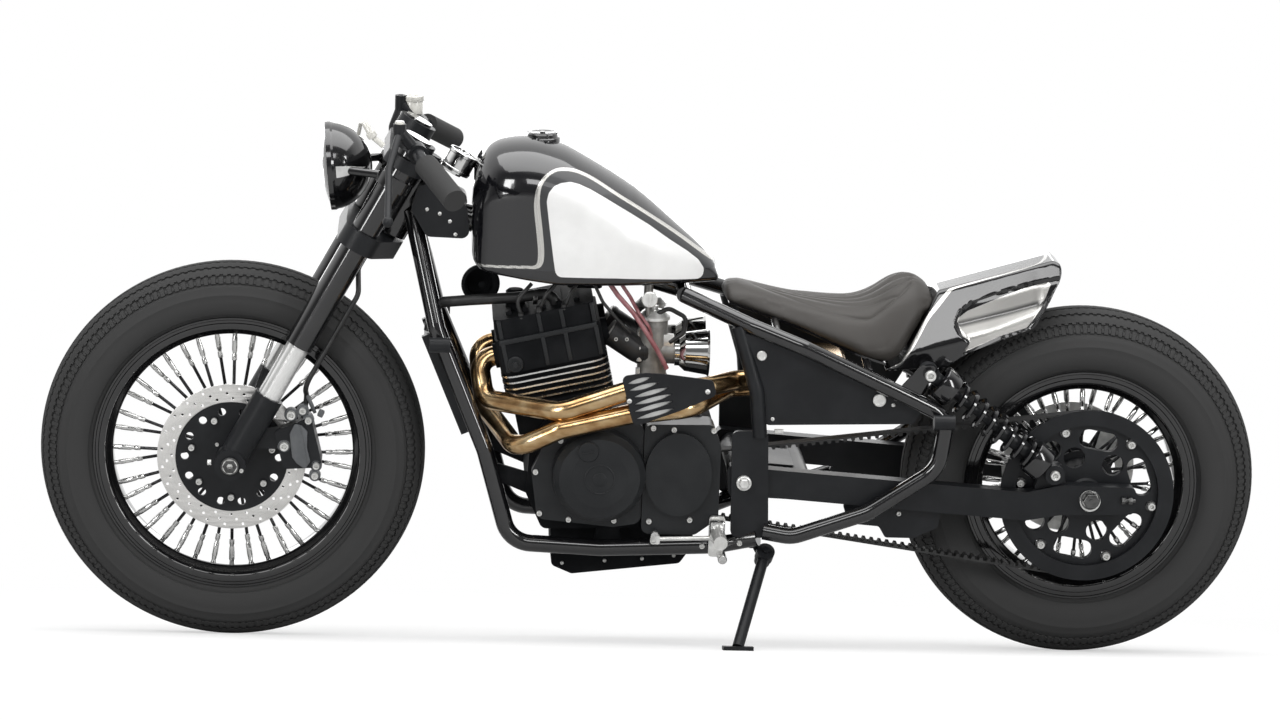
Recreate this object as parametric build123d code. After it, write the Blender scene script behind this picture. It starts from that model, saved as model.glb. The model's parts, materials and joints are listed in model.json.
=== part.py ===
from build123d import *
from collections import namedtuple
from functools import cache
from math import atan2, cos, degrees, pi, radians, sin, sqrt, tan
import os

# Custom bobber motorcycle, parked on its side stand. Millimetres.
# The machine is drawn upright: x forward from mid-wheelbase, y to its left, z up from the ground.
# At the end every piece is tipped by LEAN to its left and moved to the middle of its footprint.

# Overall layout
WHEELBASE = 1500
LEAN = 14.4
RAKE = 28.4
FIT_GAP = 0.3
RUN_GAP = 0.05
BODY_GAP = 5

# Wheels: radius over the tread, radius of the round tyre section, bead and flange radii,
# half width of the rim, hub flange radius and lateral place of the hub flanges
WheelSize = namedtuple("WheelSize", "x radius crown bead flange rim_half hub_flange hub_half")
FRONT = WheelSize(WHEELBASE / 2, 337.5, 60, 228.6, 244, 40, 52, 30)
REAR = WheelSize(-WHEELBASE / 2, 316, 71, 190.5, 208, 52, 62, 38)
TYRE_WALL = 11
SIDEWALL_ANGLE = 27
RIM_SKIN = 5
RIM_WELL = 13
SPOKES = 40
SPOKE_RADIUS = 3
NIPPLE_RADIUS = 4.6
NIPPLE_LENGTH = 48
SPOKE_SEAT = 0.9
NIPPLE_SEAT = 1.6
FRONT_AXLE_RADIUS = 10
REAR_AXLE_RADIUS = 12

# Front disc: friction ring on a bolted carrier, on the left
DISC_LAT = 58
DISC_THICK = 5
DISC_OUTER = 130
DISC_INNER = 98
CARRIER_BORE = 20
CARRIER_WINDOWS = 7
CARRIER_WINDOW_PITCH = 82
# Rear disc, on the right
REAR_DISC_LAT = -92
REAR_DISC_OUTER = 120

# Fork, drawn along its legs: lateral, behind, up from the axle
FORK_LAT = 100
FORK_OFFSET = 45
SLIDER_RADIUS = 25
SLIDER_START = 240
SLIDER_END = 660
STANCHION_RADIUS = 20.5
FOOT_TOP = 136
FOOT_RADIUS = 27
LOWER_YOKE_START = 437
LOWER_YOKE_THICK = 34
TOP_YOKE_START = 598
TOP_YOKE_THICK = 22
YOKE_WALL = 11
STEM_RADIUS = 15
STEM_NUT = 12
STEM_NUT_RADIUS = 18
HEADSTOCK_RADIUS = 30
HEADSTOCK_GAP = 5
CLIP_START = 632
CLIP_THICK = 24
BAR_RADIUS = 11
GRIP_RADIUS = 20
GRIP_LENGTH = 122
GAUGE_BACK = 90
GAUGE_RADIUS = 26
HOSE_RADIUS = 4.5

# Lamp
LAMP_CENTRE = (517, 0, 857)
LAMP_TILT = 5.6
LAMP_RADIUS = 78
LAMP_DEPTH = 76

# Frame tubes
TUBE_RADIUS = 15
LOOP_RADIUS = 14
BACKBONE_RADIUS = 23
PLATE_IN = 151
PLATE_THICK = 9
PIVOT = (-141, 0, 339)
PIVOT_RADIUS = 10
BOTTOM_TUBE = (-160, 229)
ARM_IN = 121
ARM_THICK = 28
SHOCK_LAT = 152
SHOCK_TOP = (-455, 541)
SHOCK_FOOT = (-684, 366)
SPRING_RADIUS = 25
SPRING_WIRE = 4.5
SPRING_TURNS = 9

# Belt drive, on the left
BELT_LAT = 104
BELT_WIDTH = 24
BELT_PITCH = 14
BELT_TEETH = 148
BELT_BACK = 3
TOOTH_DEPTH = 5
DRIVE_TEETH = 22
DRIVEN_TEETH = 66
FLANGE_RISE = 7
PULLEY_GAP = 1

# Engine
CASE_HALF = 115
BELT_SIDE_HALF = 86
CYLINDER_TILT = 13
CYLINDER_BASE = (169, 0, 424)
FIN_COUNT = 6
FIN_PITCH = 11
FIN_THICK = 4
HEADER_RADIUS = 17.5

# Side stand
STAND_PIVOT = (-185, 140, 205)
STAND_FOOT = (-132, 289)
STAND_PIN_RADIUS = 6
STAND_RADIUS = 10
STAND_RANGE = 95
STAND_EYE_HALF = 11
STAND_LUG_RADIUS = 6.5


def axle_height(wheel):
    """Height of an axle above the ground with the tyre's round section resting at the lean."""
    return wheel.radius - wheel.crown + wheel.crown / cos(radians(LEAN))


FRONT_AXLE = (FRONT.x, 0, axle_height(FRONT))
REAR_AXLE = (REAR.x, 0, axle_height(REAR))
FORK = Plane(FRONT_AXLE, x_dir=(0, 1, 0), z_dir=(-sin(radians(RAKE)), 0, cos(radians(RAKE))))

UP = (Align.CENTER, Align.CENTER, Align.MIN)


def rod(start, end, radius):
    """Round bar between two points."""
    run = Vector(*end) - Vector(*start)
    return Plane(start, z_dir=run) * Cylinder(radius, run.length, align=UP)


def tube(points, radius, bend):
    """Round bar along straight runs joined by arcs."""
    path = FilletPolyline(*points, radius=bend)
    return sweep(Plane(path @ 0, z_dir=path % 0) * Circle(radius), path=path)


def side_plate(outline, lat_low, lat_high):
    """Side-view outline (x, z) thickened between two lateral stations."""
    return extrude(Plane.XZ.offset(-lat_high) * outline, lat_high - lat_low)


def rounded(points, radius):
    """Closed outline with rounded corners."""
    return make_face(FilletPolyline(*points, radius=radius, close=True))


def turned(profile, axle):
    """Profile (lateral, radius) turned about an axle."""
    return Pos(*axle) * revolve(Plane.YZ * profile, axis=Axis.Y)


def lateral(x, z, lat_low, lat_high, radius):
    """Round bar across the machine."""
    return rod((x, lat_low, z), (x, lat_high, z), radius)


def both(piece):
    """A left-hand piece and its mirror image on the right."""
    return piece + mirror(piece, about=Plane.XZ)


def fork_xyz(lat, back, up):
    """Point in the machine's frame from a place on the fork."""
    return tuple(FORK.from_local_coords(Vector(lat, back, up)))


# Wheels


def tyre(wheel):
    """Hollow tyre whose beads sit inside the rim's flanges."""
    middle = wheel.radius - wheel.crown
    low = radians(SIDEWALL_ANGLE)

    def on_section(radius):
        return (radius * cos(low), middle - radius * sin(low))

    toe = (wheel.rim_half - 17, wheel.bead + FIT_GAP)
    heel = (wheel.rim_half - RIM_SKIN - FIT_GAP, wheel.bead + FIT_GAP)
    lip = (wheel.rim_half - RIM_SKIN + 1 - FIT_GAP, wheel.flange + 0.5)
    side = on_section(wheel.crown)
    inner = on_section(wheel.crown - TYRE_WALL)
    root = (wheel.rim_half - 15, wheel.bead + 12)
    left = [toe, heel, lip, side]
    right = [(-lat, radius) for lat, radius in reversed(left)]
    outer = Polyline(*left) + ThreePointArc(side, (0, wheel.radius), right[0]) + Polyline(*right)
    mirrored_inner = (-inner[0], inner[1])
    mirrored_root = (-root[0], root[1])
    liner = Polyline(right[-1], mirrored_root, mirrored_inner)
    liner += ThreePointArc(mirrored_inner, (0, wheel.radius - TYRE_WALL), inner)
    liner += Polyline(inner, root, toe)
    return turned(make_face(outer + liner), (wheel.x, 0, axle_height(wheel)))


def rim(wheel):
    """Drop-centre rim."""
    edge, bead, flange = wheel.rim_half, wheel.bead, wheel.flange
    outer = [(edge, flange), (edge - RIM_SKIN + 1, flange), (edge - RIM_SKIN, bead),
             (edge - 18, bead), (edge - 24, bead - RIM_WELL)]
    inner = [(edge - 22, bead - RIM_WELL - RIM_SKIN - 1), (edge - 16, bead - RIM_SKIN - 1),
             (edge, bead - RIM_SKIN - 1)]
    half = outer + [(-lat, radius) for lat, radius in reversed(outer)]
    back = [(-lat, radius) for lat, radius in reversed(inner)] + inner
    return turned(Polygon(*half, *back, align=None), (wheel.x, 0, axle_height(wheel)))


def spokes(wheel):
    """Straight spokes with long nipples, to the left and right hub flange in turn."""
    inner = wheel.hub_flange + SPOKE_SEAT
    outer = wheel.bead - RIM_WELL - RIM_SKIN - 1 - NIPPLE_SEAT
    near = (0, wheel.hub_half, inner)
    far = (0, wheel.rim_half / 5, outer)
    run = Vector(*far) - Vector(*near)
    section = Plane(near, x_dir=(1, 0, 0), z_dir=run)
    left = extrude(section * RegularPolygon(SPOKE_RADIUS, 6), run.length)
    nipple = section.offset(run.length - NIPPLE_LENGTH) * RegularPolygon(NIPPLE_RADIUS, 6)
    left += extrude(nipple, NIPPLE_LENGTH)
    right = mirror(left, about=Plane.XZ)
    axle = Pos(wheel.x, 0, axle_height(wheel))
    turn = 360 / SPOKES
    return Compound([axle * Rot(0, turn * k, 0) * (right if k % 2 else left) for k in range(SPOKES)])


def front_hub():
    """Hub with two spoke flanges and a nose for the disc carrier."""
    bore = FRONT_AXLE_RADIUS + RUN_GAP
    flange, half = FRONT.hub_flange, FRONT.hub_half
    profile = [(-58, bore), (-58, 26), (-half - 4, 30), (-half - 3, flange), (3 - half, flange),
               (6 - half, 34), (half - 6, 34), (half - 3, flange), (half + 3, flange),
               (half + 4, 40), (DISC_LAT, 40), (DISC_LAT, CARRIER_BORE), (DISC_LAT + 8, CARRIER_BORE),
               (DISC_LAT + 8, bore)]
    return turned(Polygon(*profile, align=None), FRONT_AXLE)


def front_disc():
    """Friction ring."""
    ring = Circle(DISC_OUTER) - Circle(DISC_INNER)
    return Pos(*FRONT_AXLE) * side_plate(ring, DISC_LAT, DISC_LAT + DISC_THICK)


def disc_carrier():
    """Carrier plate with pairs of small windows and raised bolt heads."""
    plate = Circle(DISC_INNER) - Circle(CARRIER_BORE)
    plate -= PolarLocations(CARRIER_WINDOW_PITCH, 2 * CARRIER_WINDOWS) * Circle(7)
    carrier = side_plate(plate, DISC_LAT, DISC_LAT + DISC_THICK + 1)
    heads = PolarLocations(72, CARRIER_WINDOWS, 13) * RegularPolygon(7, 6)
    carrier += side_plate(Sketch() + heads, DISC_LAT + DISC_THICK, DISC_LAT + DISC_THICK + 5)
    return Pos(*FRONT_AXLE) * carrier


def rear_hub():
    """Hub with spoke flanges, and seats for the pulley and the disc."""
    bore = REAR_AXLE_RADIUS + RUN_GAP
    flange, half = REAR.hub_flange, REAR.hub_half
    profile = [(-105, bore), (-105, 22), (REAR_DISC_LAT, 22), (REAR_DISC_LAT, 45), (-half - 5, 45),
               (-half - 3, flange), (3 - half, flange), (6 - half, 40), (half - 6, 40),
               (half - 3, flange), (half + 3, flange), (half + 5, 52), (PULLEY_WEB_LAT, 52),
               (PULLEY_WEB_LAT, 30), (PULLEY_WEB_LAT + PULLEY_WEB, 30), (112, 26), (112, bore)]
    return turned(Polygon(*profile, align=None), REAR_AXLE)


def rear_disc():
    """Rear friction ring and its spider in one plate."""
    plate = Circle(REAR_DISC_OUTER) - Circle(22)
    plate -= PolarLocations(70, 6) * Circle(17)
    return Pos(*REAR_AXLE) * side_plate(plate, REAR_DISC_LAT - 5, REAR_DISC_LAT - 0)


# Belt drive
PULLEY_WEB = 12
PULLEY_WEB_LAT = 96
DRIVEN_PITCH_RADIUS = DRIVEN_TEETH * BELT_PITCH / (2 * pi)
DRIVE_PITCH_RADIUS = DRIVE_TEETH * BELT_PITCH / (2 * pi)


def centre_distance():
    """Distance of the pulleys that suits a whole number of belt teeth."""
    big, small = DRIVEN_PITCH_RADIUS, DRIVE_PITCH_RADIUS
    length = BELT_TEETH * BELT_PITCH
    part = length - pi * (big + small)
    return (part + sqrt(part**2 - 8 * (big - small) ** 2)) / 4


DRIVE_AXLE = (REAR.x + centre_distance(), 0, axle_height(REAR) + 4)


def belt_line(big, small):
    """Outline round both pulleys, at the given radii, in side view."""
    centres = Vector(DRIVE_AXLE[0] - REAR.x, DRIVE_AXLE[2] - REAR_AXLE[2])
    circles = [Circle(big), Pos(centres.X, centres.Y) * Circle(small)]
    return make_hull([circle.edge() for circle in circles]).face()


def belt():
    """Toothed belt as one loop."""
    back = belt_line(DRIVEN_PITCH_RADIUS + BELT_BACK, DRIVE_PITCH_RADIUS + BELT_BACK)
    face = belt_line(DRIVEN_PITCH_RADIUS, DRIVE_PITCH_RADIUS)
    path = Wire(face.outer_wire().edges())
    low, high = BELT_LAT - BELT_WIDTH / 2, BELT_LAT + BELT_WIDTH / 2
    band = side_plate(Sketch() + back - face, low, high)
    tooth = Polygon((-4, BELT_BACK / 3), (4, BELT_BACK / 3), (2.5, -TOOTH_DEPTH), (-2.5, -TOOTH_DEPTH),
                    align=None)
    middle = Vector(*face.center())
    teeth = []
    for k in range(BELT_TEETH):
        spot = path @ ((k + 0.5) / BELT_TEETH)
        along = path % ((k + 0.5) / BELT_TEETH)
        outward = Vector(along.Y, -along.X)
        if outward.dot(spot - middle) < 0:
            along = -along
        teeth.append(Pos(spot.X, spot.Y) * Rot(0, 0, degrees(atan2(along.Y, along.X))) * Rot(180, 0, 0) * tooth)
    return Pos(*REAR_AXLE) * (band + side_plate(Sketch() + teeth, low, high))


def rear_pulley():
    """Driven pulley: drum and flanges on a web with six oval windows and six round holes."""
    drum = DRIVEN_PITCH_RADIUS - TOOTH_DEPTH - PULLEY_GAP
    flange = DRIVEN_PITCH_RADIUS + FLANGE_RISE
    low = BELT_LAT - BELT_WIDTH / 2 - PULLEY_GAP
    high = BELT_LAT + BELT_WIDTH / 2 + PULLEY_GAP
    web_end = PULLEY_WEB_LAT + PULLEY_WEB
    profile = [(low - 2.5, drum - 14), (low - 2.5, flange - 6), (low, flange - 6), (low, drum), (high, drum),
               (high, flange), (high + 2.5, flange), (high + 2.5, drum - 14), (web_end, drum - 14),
               (web_end, 30), (PULLEY_WEB_LAT, 30), (PULLEY_WEB_LAT, drum - 14)]
    pulley = revolve(Plane.YZ * Polygon(*profile, align=None), axis=Axis.Y)
    cuts = [Rot(0, 0, 10 + 60 * k) * Pos(70, 0) * Circle(19) for k in range(6)]
    cuts += [Rot(0, 0, 40 + 60 * k) * Pos(99, 0) * Rot(0, 0, 90) * SlotOverall(70, 34) for k in range(6)]
    pulley -= side_plate(Sketch() + cuts, PULLEY_WEB_LAT - 1, web_end + 1)
    return Pos(*REAR_AXLE) * pulley


def drive_pulley():
    """Small pulley on the gearbox shaft."""
    low = BELT_LAT - BELT_WIDTH / 2
    root = DRIVE_PITCH_RADIUS - TOOTH_DEPTH - FIT_GAP
    pulley = lateral(DRIVE_AXLE[0], DRIVE_AXLE[2], low, low + BELT_WIDTH, root)
    return pulley + lateral(DRIVE_AXLE[0], DRIVE_AXLE[2], BELT_SIDE_HALF, low, 22)


# Fork


@cache
def fork_foot():
    """Left leg's casting: a socket for the tube and a boss for the axle."""
    foot = FORK * Pos(FORK_LAT, 0, 0) * Cylinder(FOOT_RADIUS - 1, FOOT_TOP, align=UP)
    foot += lateral(FRONT_AXLE[0], FRONT_AXLE[2], FORK_LAT - FOOT_RADIUS, FORK_LAT + FOOT_RADIUS, FOOT_RADIUS)
    return foot - lateral(FRONT_AXLE[0], FRONT_AXLE[2], 0, 200, FRONT_AXLE_RADIUS)


def stanchions():
    """Bright inner tubes between the castings and the outer tubes."""
    length = SLIDER_START - FOOT_TOP
    return both(FORK * Pos(FORK_LAT, 0, FOOT_TOP) * Cylinder(STANCHION_RADIUS, length, align=UP))


def sliders():
    """Black outer tubes held by both yokes."""
    length = SLIDER_END - SLIDER_START
    return both(FORK * Pos(FORK_LAT, 0, SLIDER_START) * Cylinder(SLIDER_RADIUS, length, align=UP))


def yoke(start, thick, boss):
    """Clamp plate round both legs and the stem."""
    legs = [Pos(lat, 0) * Circle(SLIDER_RADIUS + YOKE_WALL) for lat in (FORK_LAT, -FORK_LAT)]
    circles = legs + [Pos(0, FORK_OFFSET) * Circle(boss)]
    plate = make_hull([circle.edge() for circle in circles])
    plate -= [Pos(lat, 0) * Circle(SLIDER_RADIUS) for lat in (FORK_LAT, -FORK_LAT)]
    return extrude(FORK.offset(start) * plate, thick)


def lower_yoke():
    """Lower clamp with the steering stem."""
    stem = FORK * Pos(0, FORK_OFFSET, LOWER_YOKE_START + LOWER_YOKE_THICK)
    length = TOP_YOKE_START + TOP_YOKE_THICK + STEM_NUT - LOWER_YOKE_START - LOWER_YOKE_THICK
    return yoke(LOWER_YOKE_START, LOWER_YOKE_THICK, 30) + stem * Cylinder(STEM_RADIUS, length, align=UP)


def top_yoke():
    """Top clamp, bored for the stem, with the stem's nut."""
    top = TOP_YOKE_START + TOP_YOKE_THICK
    clamp = yoke(TOP_YOKE_START, TOP_YOKE_THICK, 30)
    clamp += FORK * Pos(0, FORK_OFFSET, top) * Cylinder(STEM_NUT_RADIUS, STEM_NUT - 3, align=UP)
    stem = FORK * Pos(0, FORK_OFFSET, TOP_YOKE_START - 1) * Cylinder(STEM_RADIUS, 60, align=UP)
    return clamp - stem


GRIP_START = (434, 190, 900)
GRIP_END = (376, 312, 852)


@cache
def left_bar():
    """Clip-on: a clamp on the tube and the bar that carries the grip."""
    clamp = FORK * Pos(FORK_LAT, 0, CLIP_START) * Cylinder(SLIDER_RADIUS + 9, CLIP_THICK, align=UP)
    start = fork_xyz(FORK_LAT, 0, CLIP_START + CLIP_THICK / 2)
    bar = tube([start, GRIP_START, GRIP_END], BAR_RADIUS, 40)
    hole = FORK * Pos(FORK_LAT, 0, CLIP_START - 1) * Cylinder(SLIDER_RADIUS, CLIP_THICK + 60, align=UP)
    return clamp + bar - hole


def left_grip():
    """Fat rubber grip over the bar's end."""
    run = (Vector(*GRIP_END) - Vector(*GRIP_START)).normalized()
    start = Vector(*GRIP_END) + run * (4 - GRIP_LENGTH)
    grip = Plane(start, z_dir=run) * Cylinder(GRIP_RADIUS, GRIP_LENGTH, align=UP)
    hole = Plane(start, z_dir=run) * Cylinder(BAR_RADIUS, GRIP_LENGTH - 4, align=UP)
    return grip - hole


LEVER_PERCH = (470, 158, 940)
LEVER_END = (485, 320, 813)


@cache
def left_perch():
    """Block that clamps the bar and holds the lever's pivot."""
    perch = rod((442, 138, 904), (437, 168, 901), 17)
    perch += rod((440, 153, 903), LEVER_PERCH, 10)
    perch += rod((470, 158, 926), (470, 158, 952), 11)
    perch -= rod((470, 158, 930), (470, 158, 953), MIRROR_THREAD_RADIUS)
    return perch - left_bar()


MIRROR_THREAD_RADIUS = 5


def left_lever():
    """Hand lever with a ball at its end."""
    start = Vector(*LEVER_PERCH) + Vector(2, 14, -8)
    middle = (486, 232, 884)
    lever = tube([tuple(start), middle, LEVER_END], 6, 60)
    lever += Pos(*LEVER_END) * Sphere(9)
    return lever - left_perch()


def reservoir():
    """Brake fluid pot on the right-hand perch."""
    return rod((449, -166, 912), (449, -166, 916), 9) + rod((449, -166, 916), (449, -166, 950), 17)


def gauge():
    """Round instrument behind the top yoke, on a small tongue."""
    top = TOP_YOKE_START + TOP_YOKE_THICK
    can = FORK * Pos(0, GAUGE_BACK, top + 5) * Cylinder(GAUGE_RADIUS, 34, align=UP)
    tongue = make_hull([(Pos(0, 62) * Circle(10)).edge(), (Pos(0, GAUGE_BACK) * Circle(14)).edge()])
    tongue -= Pos(0, FORK_OFFSET) * Circle(STEM_NUT_RADIUS + FIT_GAP)
    return can + extrude(FORK.offset(top) * tongue, 5)


LAMP = Plane(LAMP_CENTRE, x_dir=(0, 1, 0), z_dir=(cos(radians(LAMP_TILT)), 0, -sin(radians(LAMP_TILT))))


def dome(radius, edge, pole):
    """Arc from the axis to an edge, round a centre on the axis."""
    centre = (pole**2 - edge**2 - radius**2) / (2 * (pole - edge))
    size = pole - centre
    half = atan2(radius, (edge - centre) / (1 if size > 0 else -1)) / 2
    middle = (abs(size) * sin(half), centre + size * cos(half))
    return ThreePointArc((0, pole), middle, (radius, edge))


@cache
def lamp_shell():
    """Lamp bowl with a rim and a bowl-shaped reflector inside."""
    depth, radius = LAMP_DEPTH, LAMP_RADIUS
    outer = dome(radius - 2, depth - 12, 0)
    edge = Polyline((radius - 2, depth - 12), (radius, depth - 8), (radius, depth), (radius - 6, depth),
                    (radius - 6, depth - 6))
    inner = dome(radius - 6, depth - 6, 0.3 * depth)
    profile = make_face(outer + edge + inner + Line((0, 0.3 * depth), (0, 0)))
    return LAMP * revolve(Plane.XZ * profile, axis=Axis.Z)


def lamp_lens():
    """Domed glass in the lamp's rim."""
    radius, depth = LAMP_RADIUS - 6 - FIT_GAP, LAMP_DEPTH
    edge = Polyline((0, depth - 6), (radius, depth - 6), (radius, depth))
    front = dome(radius, depth, depth + 12)
    profile = make_face(edge + front + Line((0, depth + 12), (0, depth - 6)))
    return LAMP * revolve(Plane.XZ * profile, axis=Axis.Z)


def lamp_bracket():
    """Arms from clamps on the fork tubes to the lamp's sides."""
    clamp = FORK * Pos(FORK_LAT, 0, 560) * Cylinder(SLIDER_RADIUS + 6, 22, align=UP)
    start = fork_xyz(FORK_LAT - 8, -SLIDER_RADIUS + 4, 571)
    arm = rod(start, (556, 62, 852), 7)
    hole = FORK * Pos(FORK_LAT, 0, 550) * Cylinder(SLIDER_RADIUS, 50, align=UP)
    return both(clamp + arm - hole) - lamp_shell()


def front_axle():
    """Axle through both feet, with its head on the left, and the hub's spacers."""
    inside, outside = FORK_LAT - FOOT_RADIUS, FORK_LAT + FOOT_RADIUS
    axle = lateral(FRONT_AXLE[0], FRONT_AXLE[2], -outside, outside, FRONT_AXLE_RADIUS)
    axle += lateral(FRONT_AXLE[0], FRONT_AXLE[2], outside, outside + 7, 14)
    left = lateral(FRONT_AXLE[0], FRONT_AXLE[2], DISC_LAT + 8 + 1, inside, 15)
    right = lateral(FRONT_AXLE[0], FRONT_AXLE[2], -inside, -59, 15)
    return axle + left + right


@cache
def front_caliper():
    """Caliper astride the disc behind the left leg, with its bracket to the casting."""
    mid = 166
    body = [(92, mid - 22), (160, mid - 17), (160, mid + 17), (92, mid + 22)]
    points = [(r * cos(radians(a)), r * sin(radians(a))) for r, a in body]
    block = side_plate(rounded(points, 9), 38, 92)
    slot = Circle(DISC_OUTER + BODY_GAP) - Circle(60)
    block -= side_plate(slot, DISC_LAT - BODY_GAP, DISC_LAT + DISC_THICK + BODY_GAP)
    arm = [(-100, 60), (-30, 60), (-30, 22), (-108, 22)]
    block += side_plate(rounded(arm, 6), 76, 88)
    caliper = Pos(*FRONT_AXLE) * block
    return caliper - fork_foot()


def brake_hose():
    """Hose from its union under the lower yoke to the caliper."""
    line = [fork_xyz(78, 24, LOWER_YOKE_START), fork_xyz(78, 24, 405), fork_xyz(90, 46, 368),
            fork_xyz(92, 46, 176), (621, 66, 456), (624, 66, 426)]
    hose = tube(line, HOSE_RADIUS, [16, 30, 36, 18])
    return hose + rod((624, 66, 410), (624, 66, 428), 7) - front_caliper()


# Frame


@cache
def headstock():
    """Bearing tube round the steering stem."""
    start = LOWER_YOKE_START + LOWER_YOKE_THICK + HEADSTOCK_GAP
    length = TOP_YOKE_START - HEADSTOCK_GAP - start
    head = FORK * Pos(0, FORK_OFFSET, start) * Cylinder(HEADSTOCK_RADIUS, length, align=UP)
    return head - FORK * Pos(0, FORK_OFFSET, start) * Cylinder(STEM_RADIUS + RUN_GAP, length, align=UP)


HEAD_MIDDLE = fork_xyz(0, FORK_OFFSET, 542)
HEAD_LOW = fork_xyz(0, FORK_OFFSET + 14, 530)
SPINE_END = (-30, 0, 655)


@cache
def backbone():
    """Spine under the tank with the cross tube that carries the rear loops."""
    spine = rod(HEAD_MIDDLE, SPINE_END, BACKBONE_RADIUS)
    spine += lateral(SPINE_END[0], SPINE_END[2], -94, 94, LOOP_RADIUS)
    return spine - FORK * Pos(0, FORK_OFFSET, 450) * Cylinder(HEADSTOCK_RADIUS, 200, align=UP)


CRADLE = [(HEAD_LOW[0], 24, HEAD_LOW[2]), (398, 100, 585), (309, 120, 376), (262, 127, 214),
          (104, 130, 208), (-98, 130, 217), (-170, 156, 240)]
CRADLE_BENDS = [55, 60, 50, 60, 60]


@cache
def left_cradle():
    """Down tube and bottom rail in one bent tube."""
    cradle = tube(CRADLE, TUBE_RADIUS, CRADLE_BENDS)
    cradle -= FORK * Pos(0, FORK_OFFSET, 450) * Cylinder(HEADSTOCK_RADIUS, 200, align=UP)
    return cradle - left_pivot_plate() - backbone()


LOOP = [(-30, 94, 655), (-150, 150, 612), (-231, 168, 584), (-400, 168, 508), (-490, 168, 466),
        (-478, 168, 372), (-360, 168, 292), (-228, 168, 245), (-178, 162, 252)]


@cache
def left_loop():
    """Rear loop: under the seat, round behind the side cover and back to the pivot plate."""
    loop = tube(LOOP, LOOP_RADIUS, [60, 60, 60, 38, 60, 90, 60])
    return loop - left_pivot_plate() - backbone()


@cache
def left_pivot_plate():
    """Plate that carries the swingarm's pivot."""
    outline = rounded([(-117, 430), (-180, 432), (-188, 240), (-122, 240)], 12)
    plate = side_plate(outline, PLATE_IN, PLATE_IN + PLATE_THICK)
    return plate - lateral(PIVOT[0], PIVOT[2], 0, 200, PIVOT_RADIUS)


@cache
def left_post():
    """Tube from the rear loop down to the pivot plate."""
    post = tube([(-122, 141, 612), (-158, 153, 500), (-166, 155.5, 420)], 13, 80)
    return post - left_loop() - left_pivot_plate()


@cache
def cross_tubes():
    """Tubes across the frame: behind the engine, at the bottom and under the tail."""
    bottom = lateral(*BOTTOM_TUBE, -146, 146, 12) - both(left_cradle())
    top = lateral(*SHOCK_TOP, -176, 176, 11)
    gusset = rounded([(SHOCK_TOP[0] - 14, SHOCK_TOP[1] + 16), (SHOCK_TOP[0] + 16, SHOCK_TOP[1] + 14),
                      (-392, 500), (-430, 484)], 6)
    plates = both(side_plate(gusset, 160, 166))
    return bottom, (top + plates) - both(left_loop())


def left_swingarm():
    """Box-section arm with the axle plate at its end and the shock's lug on top."""
    outline = rounded([(-112, 366), (-217, 358), (-640, 330), (-700, 344), (-828, 342), (-838, 320),
                       (-828, 294), (-700, 290), (-640, 279), (-219, 308), (-116, 312)], 9)
    arm = side_plate(outline, ARM_IN, ARM_IN + ARM_THICK)
    lug = rounded([(-650, 325), (-668, 380), (-700, 380), (-712, 330)], 10)
    arm += side_plate(lug, ARM_IN, SHOCK_LAT - 14)
    guard = rounded([(-318, 300), (-330, 262), (-384, 258), (-396, 238), (-446, 238), (-488, 258), (-494, 296)], 7)
    arm += side_plate(guard, ARM_IN + 3, ARM_IN + 11)
    arm -= lateral(REAR_AXLE[0], REAR_AXLE[2], 0, 200, REAR_AXLE_RADIUS)
    return arm - lateral(PIVOT[0], PIVOT[2], 0, 200, PIVOT_RADIUS)


def arm_cross():
    """Pivot tube and brace between the arms."""
    cross = lateral(PIVOT[0], PIVOT[2], -ARM_IN, ARM_IN, 22)
    cross -= lateral(PIVOT[0], PIVOT[2], -ARM_IN, ARM_IN, PIVOT_RADIUS)
    return cross + lateral(-246, 331, -ARM_IN, ARM_IN, 18) + side_plate(
        rounded([(-150, 352), (-246, 346), (-246, 316), (-150, 322)], 4), -60, 60) - lateral(
        PIVOT[0], PIVOT[2], -ARM_IN, ARM_IN, PIVOT_RADIUS)


def pivot_shaft():
    """Swingarm shaft with a head at each end."""
    reach = PLATE_IN + PLATE_THICK
    shaft = lateral(PIVOT[0], PIVOT[2], -reach, reach, PIVOT_RADIUS)
    return shaft + both(lateral(PIVOT[0], PIVOT[2], reach, reach + 7, 13))


def rear_axle():
    """Rear axle through both arms, with its spacers and nuts."""
    reach = ARM_IN + ARM_THICK
    axle = lateral(REAR_AXLE[0], REAR_AXLE[2], -reach, reach, REAR_AXLE_RADIUS)
    axle += both(lateral(REAR_AXLE[0], REAR_AXLE[2], reach, reach + 10, 18))
    axle += lateral(REAR_AXLE[0], REAR_AXLE[2], 113, ARM_IN, 19)
    return axle + lateral(REAR_AXLE[0], REAR_AXLE[2], -ARM_IN, -106, 19)


def rear_caliper():
    """Caliper astride the rear disc on the right, on a plate round the axle's spacer."""
    mid = 40
    body = [(88, mid - 20), (152, mid - 15), (152, mid + 15), (88, mid + 20)]
    points = [(r * cos(radians(a)), r * sin(radians(a))) for r, a in body]
    outside = FIT_GAP - ARM_IN
    block = side_plate(rounded(points, 9), outside, -77)
    slot = Circle(REAR_DISC_OUTER + BODY_GAP) - Circle(60)
    block -= side_plate(slot, REAR_DISC_LAT - DISC_THICK - BODY_GAP, REAR_DISC_LAT + BODY_GAP)
    plate = rounded([(-32, -26), (26, -34), (120, 48), (74, 104), (-18, 40)], 14)
    block += side_plate(plate, outside, outside + 7)
    return Pos(*REAR_AXLE) * (block - side_plate(Circle(19 + FIT_GAP), -200, 0))


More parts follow.
